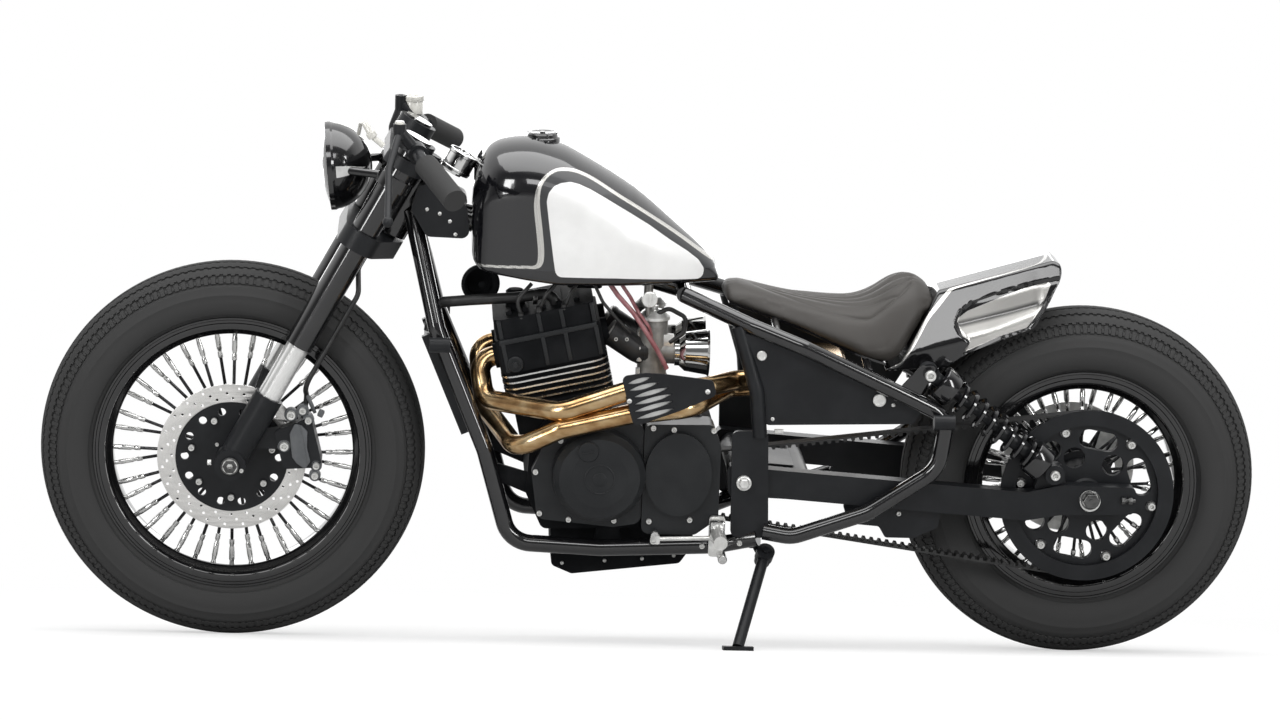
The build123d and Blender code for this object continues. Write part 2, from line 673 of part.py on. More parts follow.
def shock_plane():
    """Plane at the shock's foot, looking up its axis."""
    foot = Vector(SHOCK_FOOT[0], SHOCK_LAT, SHOCK_FOOT[1])
    run = Vector(SHOCK_TOP[0], SHOCK_LAT, SHOCK_TOP[1]) - foot
    return Plane(foot, x_dir=(0, 1, 0), z_dir=run), run.length


def left_shock():
    """Damper body, rod, spring seats and eyes."""
    plane, length = shock_plane()
    parts = [(0, 26, 11), (24, 34, SPRING_RADIUS + 4), (34, 130, 13), (130, length - 46, 8),
             (length - 46, length - 36, SPRING_RADIUS + 4), (length - 37, length, 12)]
    shock = Part()
    for start, end, radius in parts:
        shock += plane.offset(start) * Cylinder(radius, end - start, align=UP)
    shock += lateral(*SHOCK_FOOT, SHOCK_LAT - 14, SHOCK_LAT + 14, 17)
    shock += lateral(*SHOCK_TOP, SHOCK_LAT - 14, SHOCK_LAT + 14, 17)
    return shock - lateral(*SHOCK_TOP, 0, 200, 11) - side_plate(gusset_shape(), 159.7, 166.3)


def gusset_shape():
    """Room round the gusset beside the shock's upper eye."""
    return rounded([(SHOCK_TOP[0] - 20, SHOCK_TOP[1] + 22), (SHOCK_TOP[0] + 22, SHOCK_TOP[1] + 20),
                    (-392, 490), (-440, 478)], 6)


def left_spring():
    """Coil spring between the damper's seats."""
    plane, length = shock_plane()
    height = length - 46 - 34 - 2 * SPRING_WIRE - 2 * FIT_GAP
    coil = Helix(height / SPRING_TURNS, height, SPRING_RADIUS - 1)
    wire = sweep(Plane(coil @ 0, z_dir=coil % 0) * RegularPolygon(SPRING_WIRE, 6), path=coil, is_frenet=True)
    return plane * Pos(0, 0, 34 + SPRING_WIRE + FIT_GAP) * wire


# Engine


@cache
def crankcase():
    """Crankcase and gearbox casting, recessed on the left for the belt."""
    outline = rounded([(236, 300), (230, 392), (205, 432), (-70, 440), (-98, 400), (-98, 262), (-66, 240),
                       (206, 236)], 16)
    case = side_plate(outline, -CASE_HALF, BELT_SIDE_HALF)
    front = rounded([(236, 300), (230, 392), (205, 432), (35, 437), (35, 241), (206, 236)], 14)
    return case + side_plate(front, BELT_SIDE_HALF - 1, CASE_HALF)


@cache
def left_covers():
    """Generator cover with its round dome, and the belt cover behind it."""
    front = rounded([(228, 346), (196, 424), (100, 436), (35, 438), (35, 258), (84, 250), (216, 262)], 16)
    cover = side_plate(front, CASE_HALF, 146)
    dome = [(146, 0), (146, 82), (172, 80), (184, 70), (188, 50), (188, 0)]
    cover += turned(Polygon(*dome, align=None), (111, 0, 345))
    return cover


@cache
def belt_cover():
    """Cover over the drive pulley, open towards the rear for the belt."""
    outline = rounded([(34, 436), (-86, 438), (-100, 400), (-100, 270), (-60, 240), (34, 240)], 14)
    cover = side_plate(outline, BELT_SIDE_HALF, 150)
    room = rounded([(29, 422), (-160, 422), (-160, 236), (-60, 250), (29, 262)], 6)
    cover -= side_plate(room, BELT_SIDE_HALF - 1, BELT_LAT + BELT_WIDTH / 2 + 8)
    boss = Pos(-27, 350) * Ellipse(58, 74)
    cover += side_plate(boss, 150, 162)
    return cover - crankcase()


def right_cover():
    """Clutch cover."""
    outline = rounded([(222, 320), (190, 420), (-60, 430), (-92, 390), (-92, 280), (-40, 254), (190, 252)], 22)
    cover = side_plate(outline, -158, -CASE_HALF)
    return cover + lateral(20, 342, -172, -158, 84)


CYLINDERS = Plane(CYLINDER_BASE, x_dir=(cos(radians(CYLINDER_TILT)), 0, -sin(radians(CYLINDER_TILT))),
                  z_dir=(sin(radians(CYLINDER_TILT)), 0, cos(radians(CYLINDER_TILT))))
BARREL_TOP = 108
HEAD_TOP = 168
COVER_TOP = 203
PORT_UP = 132
INTAKE_UP = 138
CARB_LAT = 58


def cylinder_xyz(ahead, lat, up):
    """Point in the machine's frame from a place on the cylinders."""
    return tuple(CYLINDERS.from_local_coords(Vector(ahead, lat, up)))


def barrels():
    """Twin barrels with cooling fins near the top."""
    block = CYLINDERS.offset(-12) * Box(168, 204, BARREL_TOP + 12, align=UP)
    for k in range(FIN_COUNT):
        fin = RectangleRounded(188, 218, 30)
        block += extrude(CYLINDERS.offset(BARREL_TOP - 6 - FIN_PITCH * k - FIN_THICK) * fin, FIN_THICK)
    return block - crankcase()


@cache
def cylinder_head():
    """Head with the exhaust stubs in front and intake stubs behind."""
    head = extrude(CYLINDERS.offset(BARREL_TOP) * RectangleRounded(186, 220, 14), HEAD_TOP - BARREL_TOP)
    for lat in (-55, 55):
        head += rod(cylinder_xyz(80, lat, PORT_UP), cylinder_xyz(100, lat, PORT_UP), 22)
    for lat in (-CARB_LAT, CARB_LAT):
        head += rod(cylinder_xyz(-80, lat, INTAKE_UP), cylinder_xyz(-104, lat, INTAKE_UP), 24)
    return head


@cache
def head_cover():
    """Camshaft cover with ribs across it."""
    cover = extrude(CYLINDERS.offset(HEAD_TOP) * RectangleRounded(178, 212, 18), COVER_TOP - HEAD_TOP)
    for k in range(-2, 3):
        cover += CYLINDERS * Pos(30 * k, 0, COVER_TOP) * Box(10, 150, 6, align=UP)
    return cover


def oil_pan():
    """Sump under the crankcase."""
    outline = rounded([(190, 236), (186, 160), (150, 145), (-40, 168), (-62, 200), (-62, 242)], 10)
    return side_plate(outline, -78, 78) - crankcase()


@cache
def carburettors():
    """Two carburettors on the intake stubs."""
    start = cylinder_xyz(-104, 0, INTAKE_UP)
    pieces = Part()
    for lat in (-CARB_LAT, CARB_LAT):
        throat = tube([(start[0], lat, start[2]), (44, lat, STACK_HEIGHT), (STACK_FRONT, lat, STACK_HEIGHT)], 22, 30)
        pieces += throat + rod((20, lat, 500), (20, lat, 612), 25)
        pieces += rod((20, lat, 486), (20, lat, 500), 20)
    return pieces


STACK_FRONT = -18
STACK_END = -78
STACK_HEIGHT = 547


def velocity_stacks():
    """Bright trumpets on the carburettors' mouths."""
    outer = [(0, 25), (8, 25), (18, 34), (STACK_FRONT - STACK_END - 4, 40), (STACK_FRONT - STACK_END, 43)]
    inner = [(STACK_FRONT - STACK_END, 39), (18, 31), (8, 22), (0, 22)]
    horn = revolve(Plane.XZ * Polygon(*[(r, z) for z, r in outer + inner], align=None), axis=Axis.Z)
    place = Plane((STACK_FRONT, CARB_LAT, STACK_HEIGHT), z_dir=(-1, 0, 0))
    return both(place * horn)


UPPER_HEADER = [(296, 55, 530), (324, 57, 523.5), (312, 94, 462), (182, 184, 462), (66, 186, 504),
                (-60, 186, 512), (-122, 121, 512), (-178, 112, 512)]
LOWER_HEADER = [(296, -55, 530), (324, -53, 523.5), (310, -16, 424), (256, 166, 392), (182, 185, 432),
                (62, 185, 462), (-44, 178, 474), (-112, 92, 492), (-178, 76, 495)]


def header(points, bends):
    """One exhaust pipe from its port to the silencer."""
    return tube(points, HEADER_RADIUS, bends) - cylinder_head()


def silencer():
    """Flat silencer behind the side covers, with its outlet on the right."""
    box = side_plate(rounded([(-178, 540), (-178, 456), (-330, 450), (-345, 470), (-330, 528)], 14), -112, 134)
    outlet = tube([(-226, -92, 487), (-262, -120, 478), (-380, -124, 440)], 19, 30)
    outlet -= tube([(-226, -92, 487), (-262, -120, 478), (-381, -124, 439.7)], 16, 30)
    return box + outlet


SHIELD_LAT = 207
# Slots of the guard from the top: middle's x and height, and length.
SHIELD_SLOTS = [(50, 527.5, 42), (42, 517, 54), (29, 507, 64), (25, 495, 70), (24, 482.5, 72), (21, 469.5, 70)]
SLOT_HALF = 4.3
SLOT_TURN = 162.5


def heat_shield():
    """Slotted guard over the pipes, on two standoffs."""
    outline = rounded([(81, 534), (40, 541), (8, 540), (-77, 531), (-84, 505), (-19, 475), (57, 446)], 10)
    plate = side_plate(outline, SHIELD_LAT, SHIELD_LAT + 4)
    slots = Sketch()
    for ahead, up, length in SHIELD_SLOTS:
        ends = [(-length / 2, 0), (length / 2, 0)]
        arcs = [ThreePointArc(ends[0], (0, SLOT_HALF), ends[1]), ThreePointArc(ends[1], (0, -SLOT_HALF), ends[0])]
        slots += Pos(ahead, up) * Rot(0, 0, SLOT_TURN) * make_face(arcs)
    plate -= side_plate(slots, SHIELD_LAT - 1, SHIELD_LAT + 5)
    plate += lateral(66, 492, 190, SHIELD_LAT, 5) + lateral(-66, 512, 190, SHIELD_LAT, 5)
    return plate - header(UPPER_HEADER, UPPER_BENDS)


UPPER_BENDS = [28, 34, 60, 60, 40, 40]
LOWER_BENDS = [28, 40, 45, 45, 60, 60, 40]


@cache
def radiator():
    """Radiator between the down tubes, with its side tanks."""
    low, high = Vector(338, 0, 402), Vector(412, 0, 576)
    plane = Plane(low, x_dir=(0, 1, 0), z_dir=high - low)
    core = plane * Box(130, 24, 180, align=UP)
    tanks = [plane * Pos(lat, 0, -4) * Box(13, 30, 188, align=UP) for lat in (-71.5, 71.5)]
    return core + tanks


def coolant_hose():
    """Hose from the radiator's left tank over to the head."""
    line = [(192, 60, 606), (192, 60, 648), (262, 60, 636), (340, 52, 628), (404, 44, 620), (411, 44, 570)]
    return tube(line, 9.5, [22, 60, 60, 26]) - cylinder_head() - head_cover() - radiator()


def radiator_stays():
    """Brackets from the down tubes to the radiator."""
    stays = Part()
    for x, z in ((348, 450), (394, 554)):
        stays += lateral(x, z, 76, 104, 6)
    return both(stays - left_cradle()) - radiator()


def engine_mounts():
    """Front and lower brackets between the engine and the cradle."""
    low, high = CASE_HALF - 11, CASE_HALF - 5
    front = side_plate(rounded([(214, 330), (292, 352), (292, 322), (214, 290)], 6), low, high)
    foot = side_plate(rounded([(70, 240), (110, 240), (116, 204), (64, 204)], 6), low, high)
    return both(front + foot) - crankcase() - both(left_cradle())


# Bodywork


TANK_TOP = [(331, 878), (300, 906), (249, 914), (154, 889), (58, 833), (-19, 772), (-73, 722), (-88, 694)]


def tank():
    """Tank: side outline rounded over its plan outline, with a tunnel for the spine."""
    side = Spline(*[Vector(x, z) for x, z in TANK_TOP]) + Polyline(TANK_TOP[-1], (-80, 674), (190, 674),
                                                                     (338, 690), TANK_TOP[0])
    body = side_plate(make_face(side), -150, 150)
    plan = rounded([(345, 92), (250, 134), (90, 138), (-100, 62), (-100, -62), (90, -138), (250, -134),
                    (345, -92)], [30, 160, 160, 30, 30, 160, 160, 30])
    body &= extrude(Plane.XY.offset(600) * plan, 400)
    tunnel = side_plate(Polygon((400, 812), (-120, 668), (-120, 600), (400, 600), align=None), -31, 31)
    return body - tunnel


def tank_cap():
    """Filler cap."""
    return rod((222, 0, 905), (222, 0, 917), 27)


# Seat sections by x: bottom, crown, half width
SEAT_SECTIONS = [(-98, 641, 652, 40), (-118, 635, 664, 66), (-213, 606.5, 644, 90), (-308, 571, 637, 122),
                 (-356, 553, 647, 124), (-400, 550, 680, 117), (-432, 598, 684, 98), (-468, 650, 662, 66)]


def seat_section(x, bottom, crown, half):
    """Section across the seat, wide at its foot and crowned on top."""
    tall = crown - bottom
    edge = [(half, bottom), (half * 0.98, bottom + tall * 0.3), (half * 0.8, bottom + tall * 0.68),
            (half * 0.42, bottom + tall * 0.92), (0, crown)]
    edge += [(-y, z) for y, z in edge[-2::-1]]
    outline = Spline(*edge) + Line(edge[-1], edge[0])
    return Plane(origin=(x, 0, 0), x_dir=(0, 1, 0), z_dir=(1, 0, 0)) * make_face(outline)


@cache
def seat():
    """Padded solo seat with a raised back."""
    pad = loft([seat_section(*row) for row in SEAT_SECTIONS]) - seat_pan()
    return pad.solids().sort_by(SortBy.VOLUME)[-1]


@cache
def seat_pan():
    """Pan under the seat, bent to the slope of the loops, on four tabs."""
    outline = [(-110, 639), (-122, 637), (-248, 598), (-337, 561), (-384, 547), (-385, 543), (-337, 556.5),
               (-248, 593.5), (-122, 632.5), (-110, 636)]
    pan = side_plate(Polygon(*outline, align=None), -112, 112)
    plan = rounded([(-90, 60), (-200, 78), (-330, 112), (-480, 112), (-480, -112), (-330, -112), (-200, -78),
                    (-90, -60)], 20)
    pan &= extrude(Plane.XY.offset(500) * plan, 300)
    tabs = both(rod((-190, 60, 612), (-190, 156, 602), 7) + rod((-350, 90, 551), (-350, 160, 541), 7))
    return pan + tabs - both(left_loop())


TAIL_SIDE = [(-384, 532), (-412, 547), (-479, 658), (-471, 667), (-676, 727), (-688, 722), (-690, 712),
             (-686, 690), (-645, 612), (-528, 566), (-491, 539)]
DECK_FRONT = (-464, 0, 665)
DECK_SLOPE = (-212, 0, 62)
DECK_HALF = 62
TAIL_HALF = 106


def tail():
    """Tail cover: a flat deck, flared sides, a wheel arch and a hollow underside."""
    body = side_plate(rounded(TAIL_SIDE, [3, 10, 4, 4, 12, 4, 4, 20, 20, 20, 12]), -TAIL_HALF, TAIL_HALF)
    plan = rounded([(-360, 108), (-560, 108), (-700, 88), (-700, -88), (-560, -108), (-360, -108)], 26)
    body &= extrude(Plane.XY.offset(500) * plan, 400)
    section = rounded([(DECK_HALF, 1), (TAIL_HALF, -90), (TAIL_HALF, -240), (-TAIL_HALF, -240), (-TAIL_HALF, -90),
                       (-DECK_HALF, 1)], [9, 40, 1, 1, 40, 9])
    deck = Plane(origin=DECK_FRONT, x_dir=(0, 1, 0), z_dir=DECK_SLOPE)
    body &= extrude(deck * Rot(0, 0, 180 if deck.y_dir.Z < 0 else 0) * section, 300, both=True)
    body -= lateral(REAR_AXLE[0], REAR_AXLE[2], -84, 84, REAR.radius + 18)
    body -= side_plate(rounded([(-440, 500), (-440, 592), (-500, 618), (-640, 640), (-640, 500)], 12), -74, 74)
    body -= side_plate(rounded([(-450, 500), (-450, 600), (-492, 640), (-560, 662), (-640, 684), (-640, 500)],
                               12), -54, 54)
    scoop = rounded([(-510, 620), (-532, 650), (-720, 700), (-650, 622), (-560, 590)], [10, 10, 4, 10, 10])
    body -= both(side_plate(scoop, 88, 120))
    return body - cross_tubes()[1]


def tail_stays():
    """Tabs that hold the tail on the tube under it."""
    tab = side_plate(rounded([(-444, 543), (-468, 543), (-480, 596), (-452, 590)], 5), 60, 74)
    tab += lateral(-464, 582, 60, 74, 6)
    return both(tab) - cross_tubes()[1]


def left_side_cover():
    """Flat cover between the post and the rear loop, with two locks."""
    outline = rounded([(-122, 606), (-176, 441), (-433, 449), (-450, 478), (-405, 509), (-329, 545)], 8)
    cover = side_plate(outline, 148, 154)
    cover -= left_loop() + left_post() + left_pivot_plate()
    cover -= seat_pan()
    cover = cover.solids().sort_by(SortBy.VOLUME)[-1]
    cover += lateral(-371, 491, 154, 158, 11) + lateral(-163, 565, 154, 158, 7)
    return cover


def head_covers():
    """Covers on both sides of the steering head, on a pin through the spine."""
    outline = rounded([(432, 838), (352, 800), (344, 740), (420, 742), (448, 790)], 14)
    cover = side_plate(outline, 34, 72)
    cover -= FORK * Pos(0, FORK_OFFSET, 400) * Cylinder(HEADSTOCK_RADIUS + 3, 300, align=UP)
    cover -= tube(CRADLE, TUBE_RADIUS + 2, CRADLE_BENDS)
    return both(cover + lateral(400, 782, 10, 34, 6)) - backbone() - headstock()


def fuel_tap():
    """Tap under the tank's left side."""
    tap = rod((32, 76, 674), (32, 76, 640), 8) + rod((32, 76, 650), (32, 108, 650), 6)
    return tap + rod((32, 108, 650), (32, 116, 650), 12)


def fuel_hoses():
    """Hoses from the tap to the carburettors."""
    return tube([(32, 76, 640), (32, 76, 600), (45, 62, 585), (45, 62, 572)], 4.5, 14) - carburettors()


def left_peg():
    """Foot peg on the rail, with its bracket."""
    bracket = side_plate(rounded([(-84, 276), (-112, 276), (-110, 204), (-84, 204)], 6), 152, 160)
    peg = lateral(-97, 256, 160, 262, 12)
    stub = lateral(-97, 217, 138, 152, 8)
    return bracket + peg + stub - left_cradle()


def brake_pedal():
    """Pedal on the right, turning on its pin in the peg's bracket."""
    pedal = rod((-97, -170, 217), (62, -172, 232), 6) + lateral(62, 232, -206, -160, 8)
    return pedal + lateral(-97, 217, -178, -152, 8)


def shift_linkage():
    """Gear lever, its rod along the cover and the small arm on the gearbox shaft."""
    rod_line = rod((10, 168, 236), (-94, 168, 240), 4)
    arm = side_plate(rounded([(18, 244), (2, 244), (2, 228), (18, 228)], 4), 162, 174)
    return rod_line + arm + lateral(10, 236, 115, 162, 6) - left_covers() - belt_cover()


def indicators():
    """Four flashers on short stalks."""
    front = rod((389, 104, 566), (392, 134, 567), 6) + rod((374, 146, 567), (410, 146, 567), 13)
    front += rod((392, 134, 567), (392, 146, 567), 8)
    rear = rod((-484, 176, 459), (-484, 190, 462), 6) + rod((-462, 200, 464), (-498, 200, 464), 13)
    return both(front - left_cradle()), both(rear - left_loop())


# Side stand


def stand_plane():
    """Plane on the ground at the stand's foot."""
    ground = STAND_FOOT[1] * tan(radians(LEAN))
    return Plane((STAND_FOOT[0], STAND_FOOT[1], ground), x_dir=(1, 0, 0),
                 z_dir=(0, -sin(radians(LEAN)), cos(radians(LEAN))))


def stand_axis():
    """Direction of the stand's pin, square to the leg both down and folded."""
    plane = stand_plane()
    down = (plane.origin - Vector(*STAND_PIVOT)).normalized()
    folded = Vector(-0.985, 0.02, -0.17).normalized()
    return down.cross(folded).normalized(), down, folded


def stand_leg():
    """Leg with its eye and the foot on the ground."""
    plane = stand_plane()
    axis, down, folded = stand_axis()
    foot = plane * Box(52, 36, 7, align=UP)
    top = plane.from_local_coords(Vector(0, 0, 5))
    eye = Vector(*STAND_PIVOT)
    leg = Plane(eye, z_dir=top - eye) * Cylinder(STAND_RADIUS, (top - eye).length, align=UP)
    leg += Plane(eye - axis * STAND_EYE_HALF, z_dir=axis) * Cylinder(16, 2 * STAND_EYE_HALF, align=UP)
    leg = leg + foot
    under = plane.offset(-40) * Box(200, 200, 40, align=UP)
    pin = Plane(eye - axis * 40, z_dir=axis) * Cylinder(STAND_PIN_RADIUS + RUN_GAP, 80, align=UP)
    return leg - under - pin


def stand_bracket():
    """Fork-shaped bracket and pin under the cradle's rear corner."""
    axis, down, folded = stand_axis()
    eye = Vector(*STAND_PIVOT)
    depth = STAND_EYE_HALF + FIT_GAP + STAND_LUG_RADIUS
    back = eye - axis * (depth + STAND_LUG_RADIUS)
    pin = Plane(back, z_dir=axis) * Cylinder(STAND_PIN_RADIUS, depth + STAND_LUG_RADIUS + 16, align=UP)
    cheek = Plane(back, z_dir=axis) * Cylinder(14, 2 * STAND_LUG_RADIUS, align=UP)
    run = Vector(BOTTOM_TUBE[0], 0, BOTTOM_TUBE[1]) - eye
    lat = eye.Y + (-depth - axis.X * run.X - axis.Z * run.Z) / axis.Y
    lug = rod(tuple(eye - axis * depth), (BOTTOM_TUBE[0], lat, BOTTOM_TUBE[1]), STAND_LUG_RADIUS - 0.5)
    return pin + cheek + lug - cross_tubes()[0]


# Assembly


def parts_upright():
    """Every piece in the upright frame, by name."""
    bottom_cross, tail_cross = cross_tubes()
    front_flashers, rear_flashers = indicators()
    right_side = mirror(left_perch(), about=Plane.XZ)
    return {
        "front_tyre": tyre(FRONT),
        "front_rim": rim(FRONT),
        "front_spokes": spokes(FRONT),
        "front_hub": front_hub() + disc_carrier(),
        "front_brake_disc": front_disc(),
        "rear_tyre": tyre(REAR),
        "rear_rim": rim(REAR),
        "rear_spokes": spokes(REAR),
        "rear_hub": rear_hub(),
        "rear_brake_disc": rear_disc(),
        "rear_pulley": rear_pulley(),
        "fork_feet": both(fork_foot()),
        "fork_inner_tubes": stanchions(),
        "fork_outer_tubes": sliders(),
        "yokes": lower_yoke() + top_yoke(),
        "front_axle": front_axle(),
        "front_caliper": front_caliper(),
        "brake_hose": brake_hose(),
        "clip_on_bars": both(left_bar()),
        "grips": both(left_grip()),
        "hand_controls": both(left_perch()) + both(left_lever()) + (reservoir() - right_side - both(left_bar())),
        "gauge": gauge(),
        "lamp_shell": lamp_shell() + lamp_bracket(),
        "lamp_lens": lamp_lens(),
        "frame_spine": headstock() + backbone(),
        "cradle_tubes": both(left_cradle()),
        "pivot_plates": both(left_pivot_plate()) + both(left_post()) + bottom_cross + stand_bracket(),
        "rear_loops": both(left_loop()) + tail_cross + seat_pan() + tail_stays(),
        "swingarm": both(left_swingarm()) + arm_cross(),
        "rear_axle": rear_axle() + pivot_shaft(),
        "rear_caliper": rear_caliper(),
        "shocks": both(left_shock()),
        "shock_springs": both(left_spring()),
        "drive_belt": belt(),
        "crankcase": crankcase() + drive_pulley() + engine_mounts() + oil_pan(),
        "engine_covers": left_covers() + belt_cover() + right_cover(),
        "barrels": barrels(),
        "cylinder_head": cylinder_head() + head_cover(),
        "carburettors": carburettors() - cylinder_head() + fuel_tap() + fuel_hoses(),
        "velocity_stacks": velocity_stacks(),
        "radiator": radiator() + radiator_stays(),
        "coolant_hose": coolant_hose(),
        "exhaust": header(UPPER_HEADER, UPPER_BENDS) + header(LOWER_HEADER, LOWER_BENDS) + silencer(),
        "heat_shield": heat_shield(),
        "fuel_tank": tank() + tank_cap(),
        "seat": seat(),
        "tail": tail(),
        "side_covers": both(left_side_cover()) + head_covers(),
        "foot_controls": both(left_peg()) + shift_linkage() + brake_pedal(),
        "indicators": front_flashers + rear_flashers,
        "side_stand": stand_leg(),
    }


def parked(pieces):
    """Pieces tipped to the left and moved so that the footprint's middle is the origin."""
    tipped = {name: Rot(-LEAN, 0, 0) * piece for name, piece in pieces.items()}
    boxes = [piece.bounding_box() for piece in tipped.values()]
    middle_x = (min(box.min.X for box in boxes) + max(box.max.X for box in boxes)) / 2
    middle_y = (min(box.min.Y for box in boxes) + max(box.max.Y for box in boxes)) / 2
    return {name: Pos(-middle_x, -middle_y, 0) * piece for name, piece in tipped.items()}, middle_x, middle_y


if __name__ == "__main__":
    os.makedirs("parts", exist_ok=True)
    placed, middle_x, middle_y = parked(parts_upright())
    for name, piece in placed.items():
        export_step(piece, f"parts/{name}.step")
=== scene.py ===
"""Custom bobber motorcycle: finishes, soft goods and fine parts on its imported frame.

Everything is drawn upright in millimetres, x forward from mid-wheelbase, y to the machine's
left and z up from the ground. The Stance then parks it on its side stand, as the solids are.
"""
import json
import logging
from dataclasses import dataclass
from enum import Enum
from math import cos, hypot, pi, radians, sin, sqrt, tan

import bmesh
import bpy
import numpy as np
from mathutils import Matrix, Vector


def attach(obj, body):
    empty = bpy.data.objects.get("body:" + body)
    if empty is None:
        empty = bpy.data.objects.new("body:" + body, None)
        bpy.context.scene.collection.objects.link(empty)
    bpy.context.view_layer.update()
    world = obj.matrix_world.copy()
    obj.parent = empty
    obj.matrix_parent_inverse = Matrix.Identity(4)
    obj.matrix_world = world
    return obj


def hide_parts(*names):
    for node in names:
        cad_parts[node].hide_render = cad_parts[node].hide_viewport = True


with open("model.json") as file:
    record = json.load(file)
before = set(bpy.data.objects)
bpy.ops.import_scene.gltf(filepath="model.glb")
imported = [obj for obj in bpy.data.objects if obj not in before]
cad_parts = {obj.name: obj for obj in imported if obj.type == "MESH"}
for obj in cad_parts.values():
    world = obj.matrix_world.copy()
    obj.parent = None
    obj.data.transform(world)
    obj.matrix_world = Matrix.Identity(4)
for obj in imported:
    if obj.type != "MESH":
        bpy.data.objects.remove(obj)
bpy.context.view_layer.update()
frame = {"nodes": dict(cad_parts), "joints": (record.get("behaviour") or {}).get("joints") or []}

LOG = logging.getLogger("bobber")

Point = tuple[float, float, float]
Flat = tuple[float, float]
Rgb = tuple[float, float, float]
Socket = bpy.types.NodeSocket

MM = 0.001
AHEAD: Point = (1, 0, 0)
LEFT: Point = (0, 1, 0)
UP: Point = (0, 0, 1)


# Placing


@dataclass(frozen=True)
class Stance:
    """How the upright drawing stands parked.

    Attributes:
        lean: Degrees that the machine leans to its left.
        axle: Front axle's place in the upright drawing.
    """

    lean: float = 14.4
    axle: Point = (750.0, 0.0, 339.446)

    def shift(self) -> Vector:
        """Move, in metres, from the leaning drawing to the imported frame."""
        joint = next(j for j in frame["joints"] if j["name"] == "front_wheel_spin")
        tip = Matrix.Rotation(-radians(self.lean), 3, "X")
        return Vector(joint["pos_m"]) - tip @ Vector(self.axle) / 1000

    def matrix(self) -> Matrix:
        """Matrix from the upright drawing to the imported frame."""
        tip = Matrix.Rotation(-radians(self.lean), 4, "X")
        return Matrix.Translation(self.shift()) @ Matrix.Scale(MM, 4) @ tip

    def at(self, spot: Point) -> Vector:
        """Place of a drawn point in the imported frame."""
        return self.matrix() @ Vector(spot)


STANCE = Stance()
PARKED = STANCE.matrix()


def facing(origin: Point, axis: Point, across: Point | None = None) -> Matrix:
    """Local frame with its z along an axis.

    Args:
        origin: Place of the frame.
        axis: Direction of its z.
        across: Rough direction of its x.

    Returns:
        The frame as a matrix.
    """
    z_dir = Vector(axis).normalized()
    hint = Vector(across) if across else Vector((0, 1, 0) if abs(z_dir.y) < 0.9 else (1, 0, 0))
    x_dir = (hint - z_dir * hint.dot(z_dir)).normalized()
    y_dir = z_dir.cross(x_dir)
    turn = Matrix((x_dir, y_dir, z_dir)).transposed().to_4x4()
    return Matrix.Translation(Vector(origin)) @ turn


def leftward(x: float, up: float, lat: float = 0.0) -> Matrix:
    """Frame on the left side: local x rearward, local y up, local z to the left."""
    return facing((x, lat, up), LEFT, (-1, 0, 0))


def standing(x: float, lat: float, up: float) -> Matrix:
    """Frame on a level face: local x forward and local z up."""
    return facing((x, lat, up), UP, AHEAD)


def turned_by(angle: float) -> Matrix:
    """Turn about a frame's z."""
    return Matrix.Rotation(angle, 4, "Z")


def moved_by(x: float, y: float, z: float) -> Matrix:
    """Move within a frame."""
    return Matrix.Translation((x, y, z))


RAKE = 28.4
FORK = facing(STANCE.axle, (-sin(radians(RAKE)), 0, cos(radians(RAKE))), LEFT)
FORK_AXIS = tuple(FORK.to_3x3() @ Vector(UP))


def on_fork(lat: float, back: float, up: float) -> Point:
    """Drawn point from a place on the fork: to the left, behind and up its legs."""
    return tuple(FORK @ Vector((lat, back, up)))


# Outlines


def circle(radius: float, steps: int = 24, centre: Flat = (0, 0), start: float = 0.0) -> list[Flat]:
    """Round outline about a centre."""
    angles = [start + 2 * pi * k / steps for k in range(steps)]
    return [(centre[0] + radius * cos(a), centre[1] + radius * sin(a)) for a in angles]


def slot(length: float, width: float, centre: Flat, turn: float, steps: int = 6) -> list[Flat]:
    """Outline of a slot with round ends.

    Args:
        length: Overall length.
        width: Width, which is also the ends' diameter.
        centre: Middle of the slot.
        turn: Angle of its length in degrees.
        steps: Straight pieces in each end.

    Returns:
        The closed outline.
    """
    reach, radius, tilt = (length - width) / 2, width / 2, radians(turn)
    ends = [(reach, -pi / 2 + pi * k / steps) for k in range(steps + 1)]
    ends += [(-reach, pi / 2 + pi * k / steps) for k in range(steps + 1)]
    spots = [(offset + radius * cos(a), radius * sin(a)) for offset, a in ends]
    return [(centre[0] + u * cos(tilt) - v * sin(tilt), centre[1] + u * sin(tilt) + v * cos(tilt))
            for u, v in spots]


def rounded(points: list, radius: float | list[float], steps: int = 5, closed: bool = True) -> list[Vector]:
    """Runs joined by arcs, in two or three dimensions.

    Args:
        points: Corners.
        radius: Radius of every corner, or one for each corner that has one.
        steps: Straight pieces in each arc.
        closed: Whether the last corner joins the first.

    Returns:
        Points along the rounded line.
    """
    spots = [Vector(p) for p in points]
    count = len(spots)
    inner = range(count) if closed else range(1, count - 1)
    radii = [radius] * len(inner) if isinstance(radius, (int, float)) else list(radius)
    line = [] if closed else [spots[0]]
    for size, k in zip(radii, inner):
        here, before, after = spots[k], spots[k - 1], spots[(k + 1) % count]
        back, on = (before - here), (after - here)
        angle = back.angle(on) if back.length and on.length else pi
        if angle > pi - 0.02 or angle < 0.02 or size <= 0:
            line.append(here)
            continue
        cut = min(size / tan(angle / 2), back.length * 0.49, on.length * 0.49)
        first, last = here + back.normalized() * cut, here + on.normalized() * cut
        middle = (first + last) / 2 - here
        arc = cut * tan(angle / 2)
        centre = here + middle.normalized() * hypot(cut, arc)
        start, end = first - centre, last - centre
        sweep = start.angle(end)
        for s in range(steps + 1):
            share = s / steps
            spot = (start * sin((1 - share) * sweep) + end * sin(share * sweep)) / sin(sweep)
            line.append(centre + spot)
    return line if closed else line + [spots[-1]]


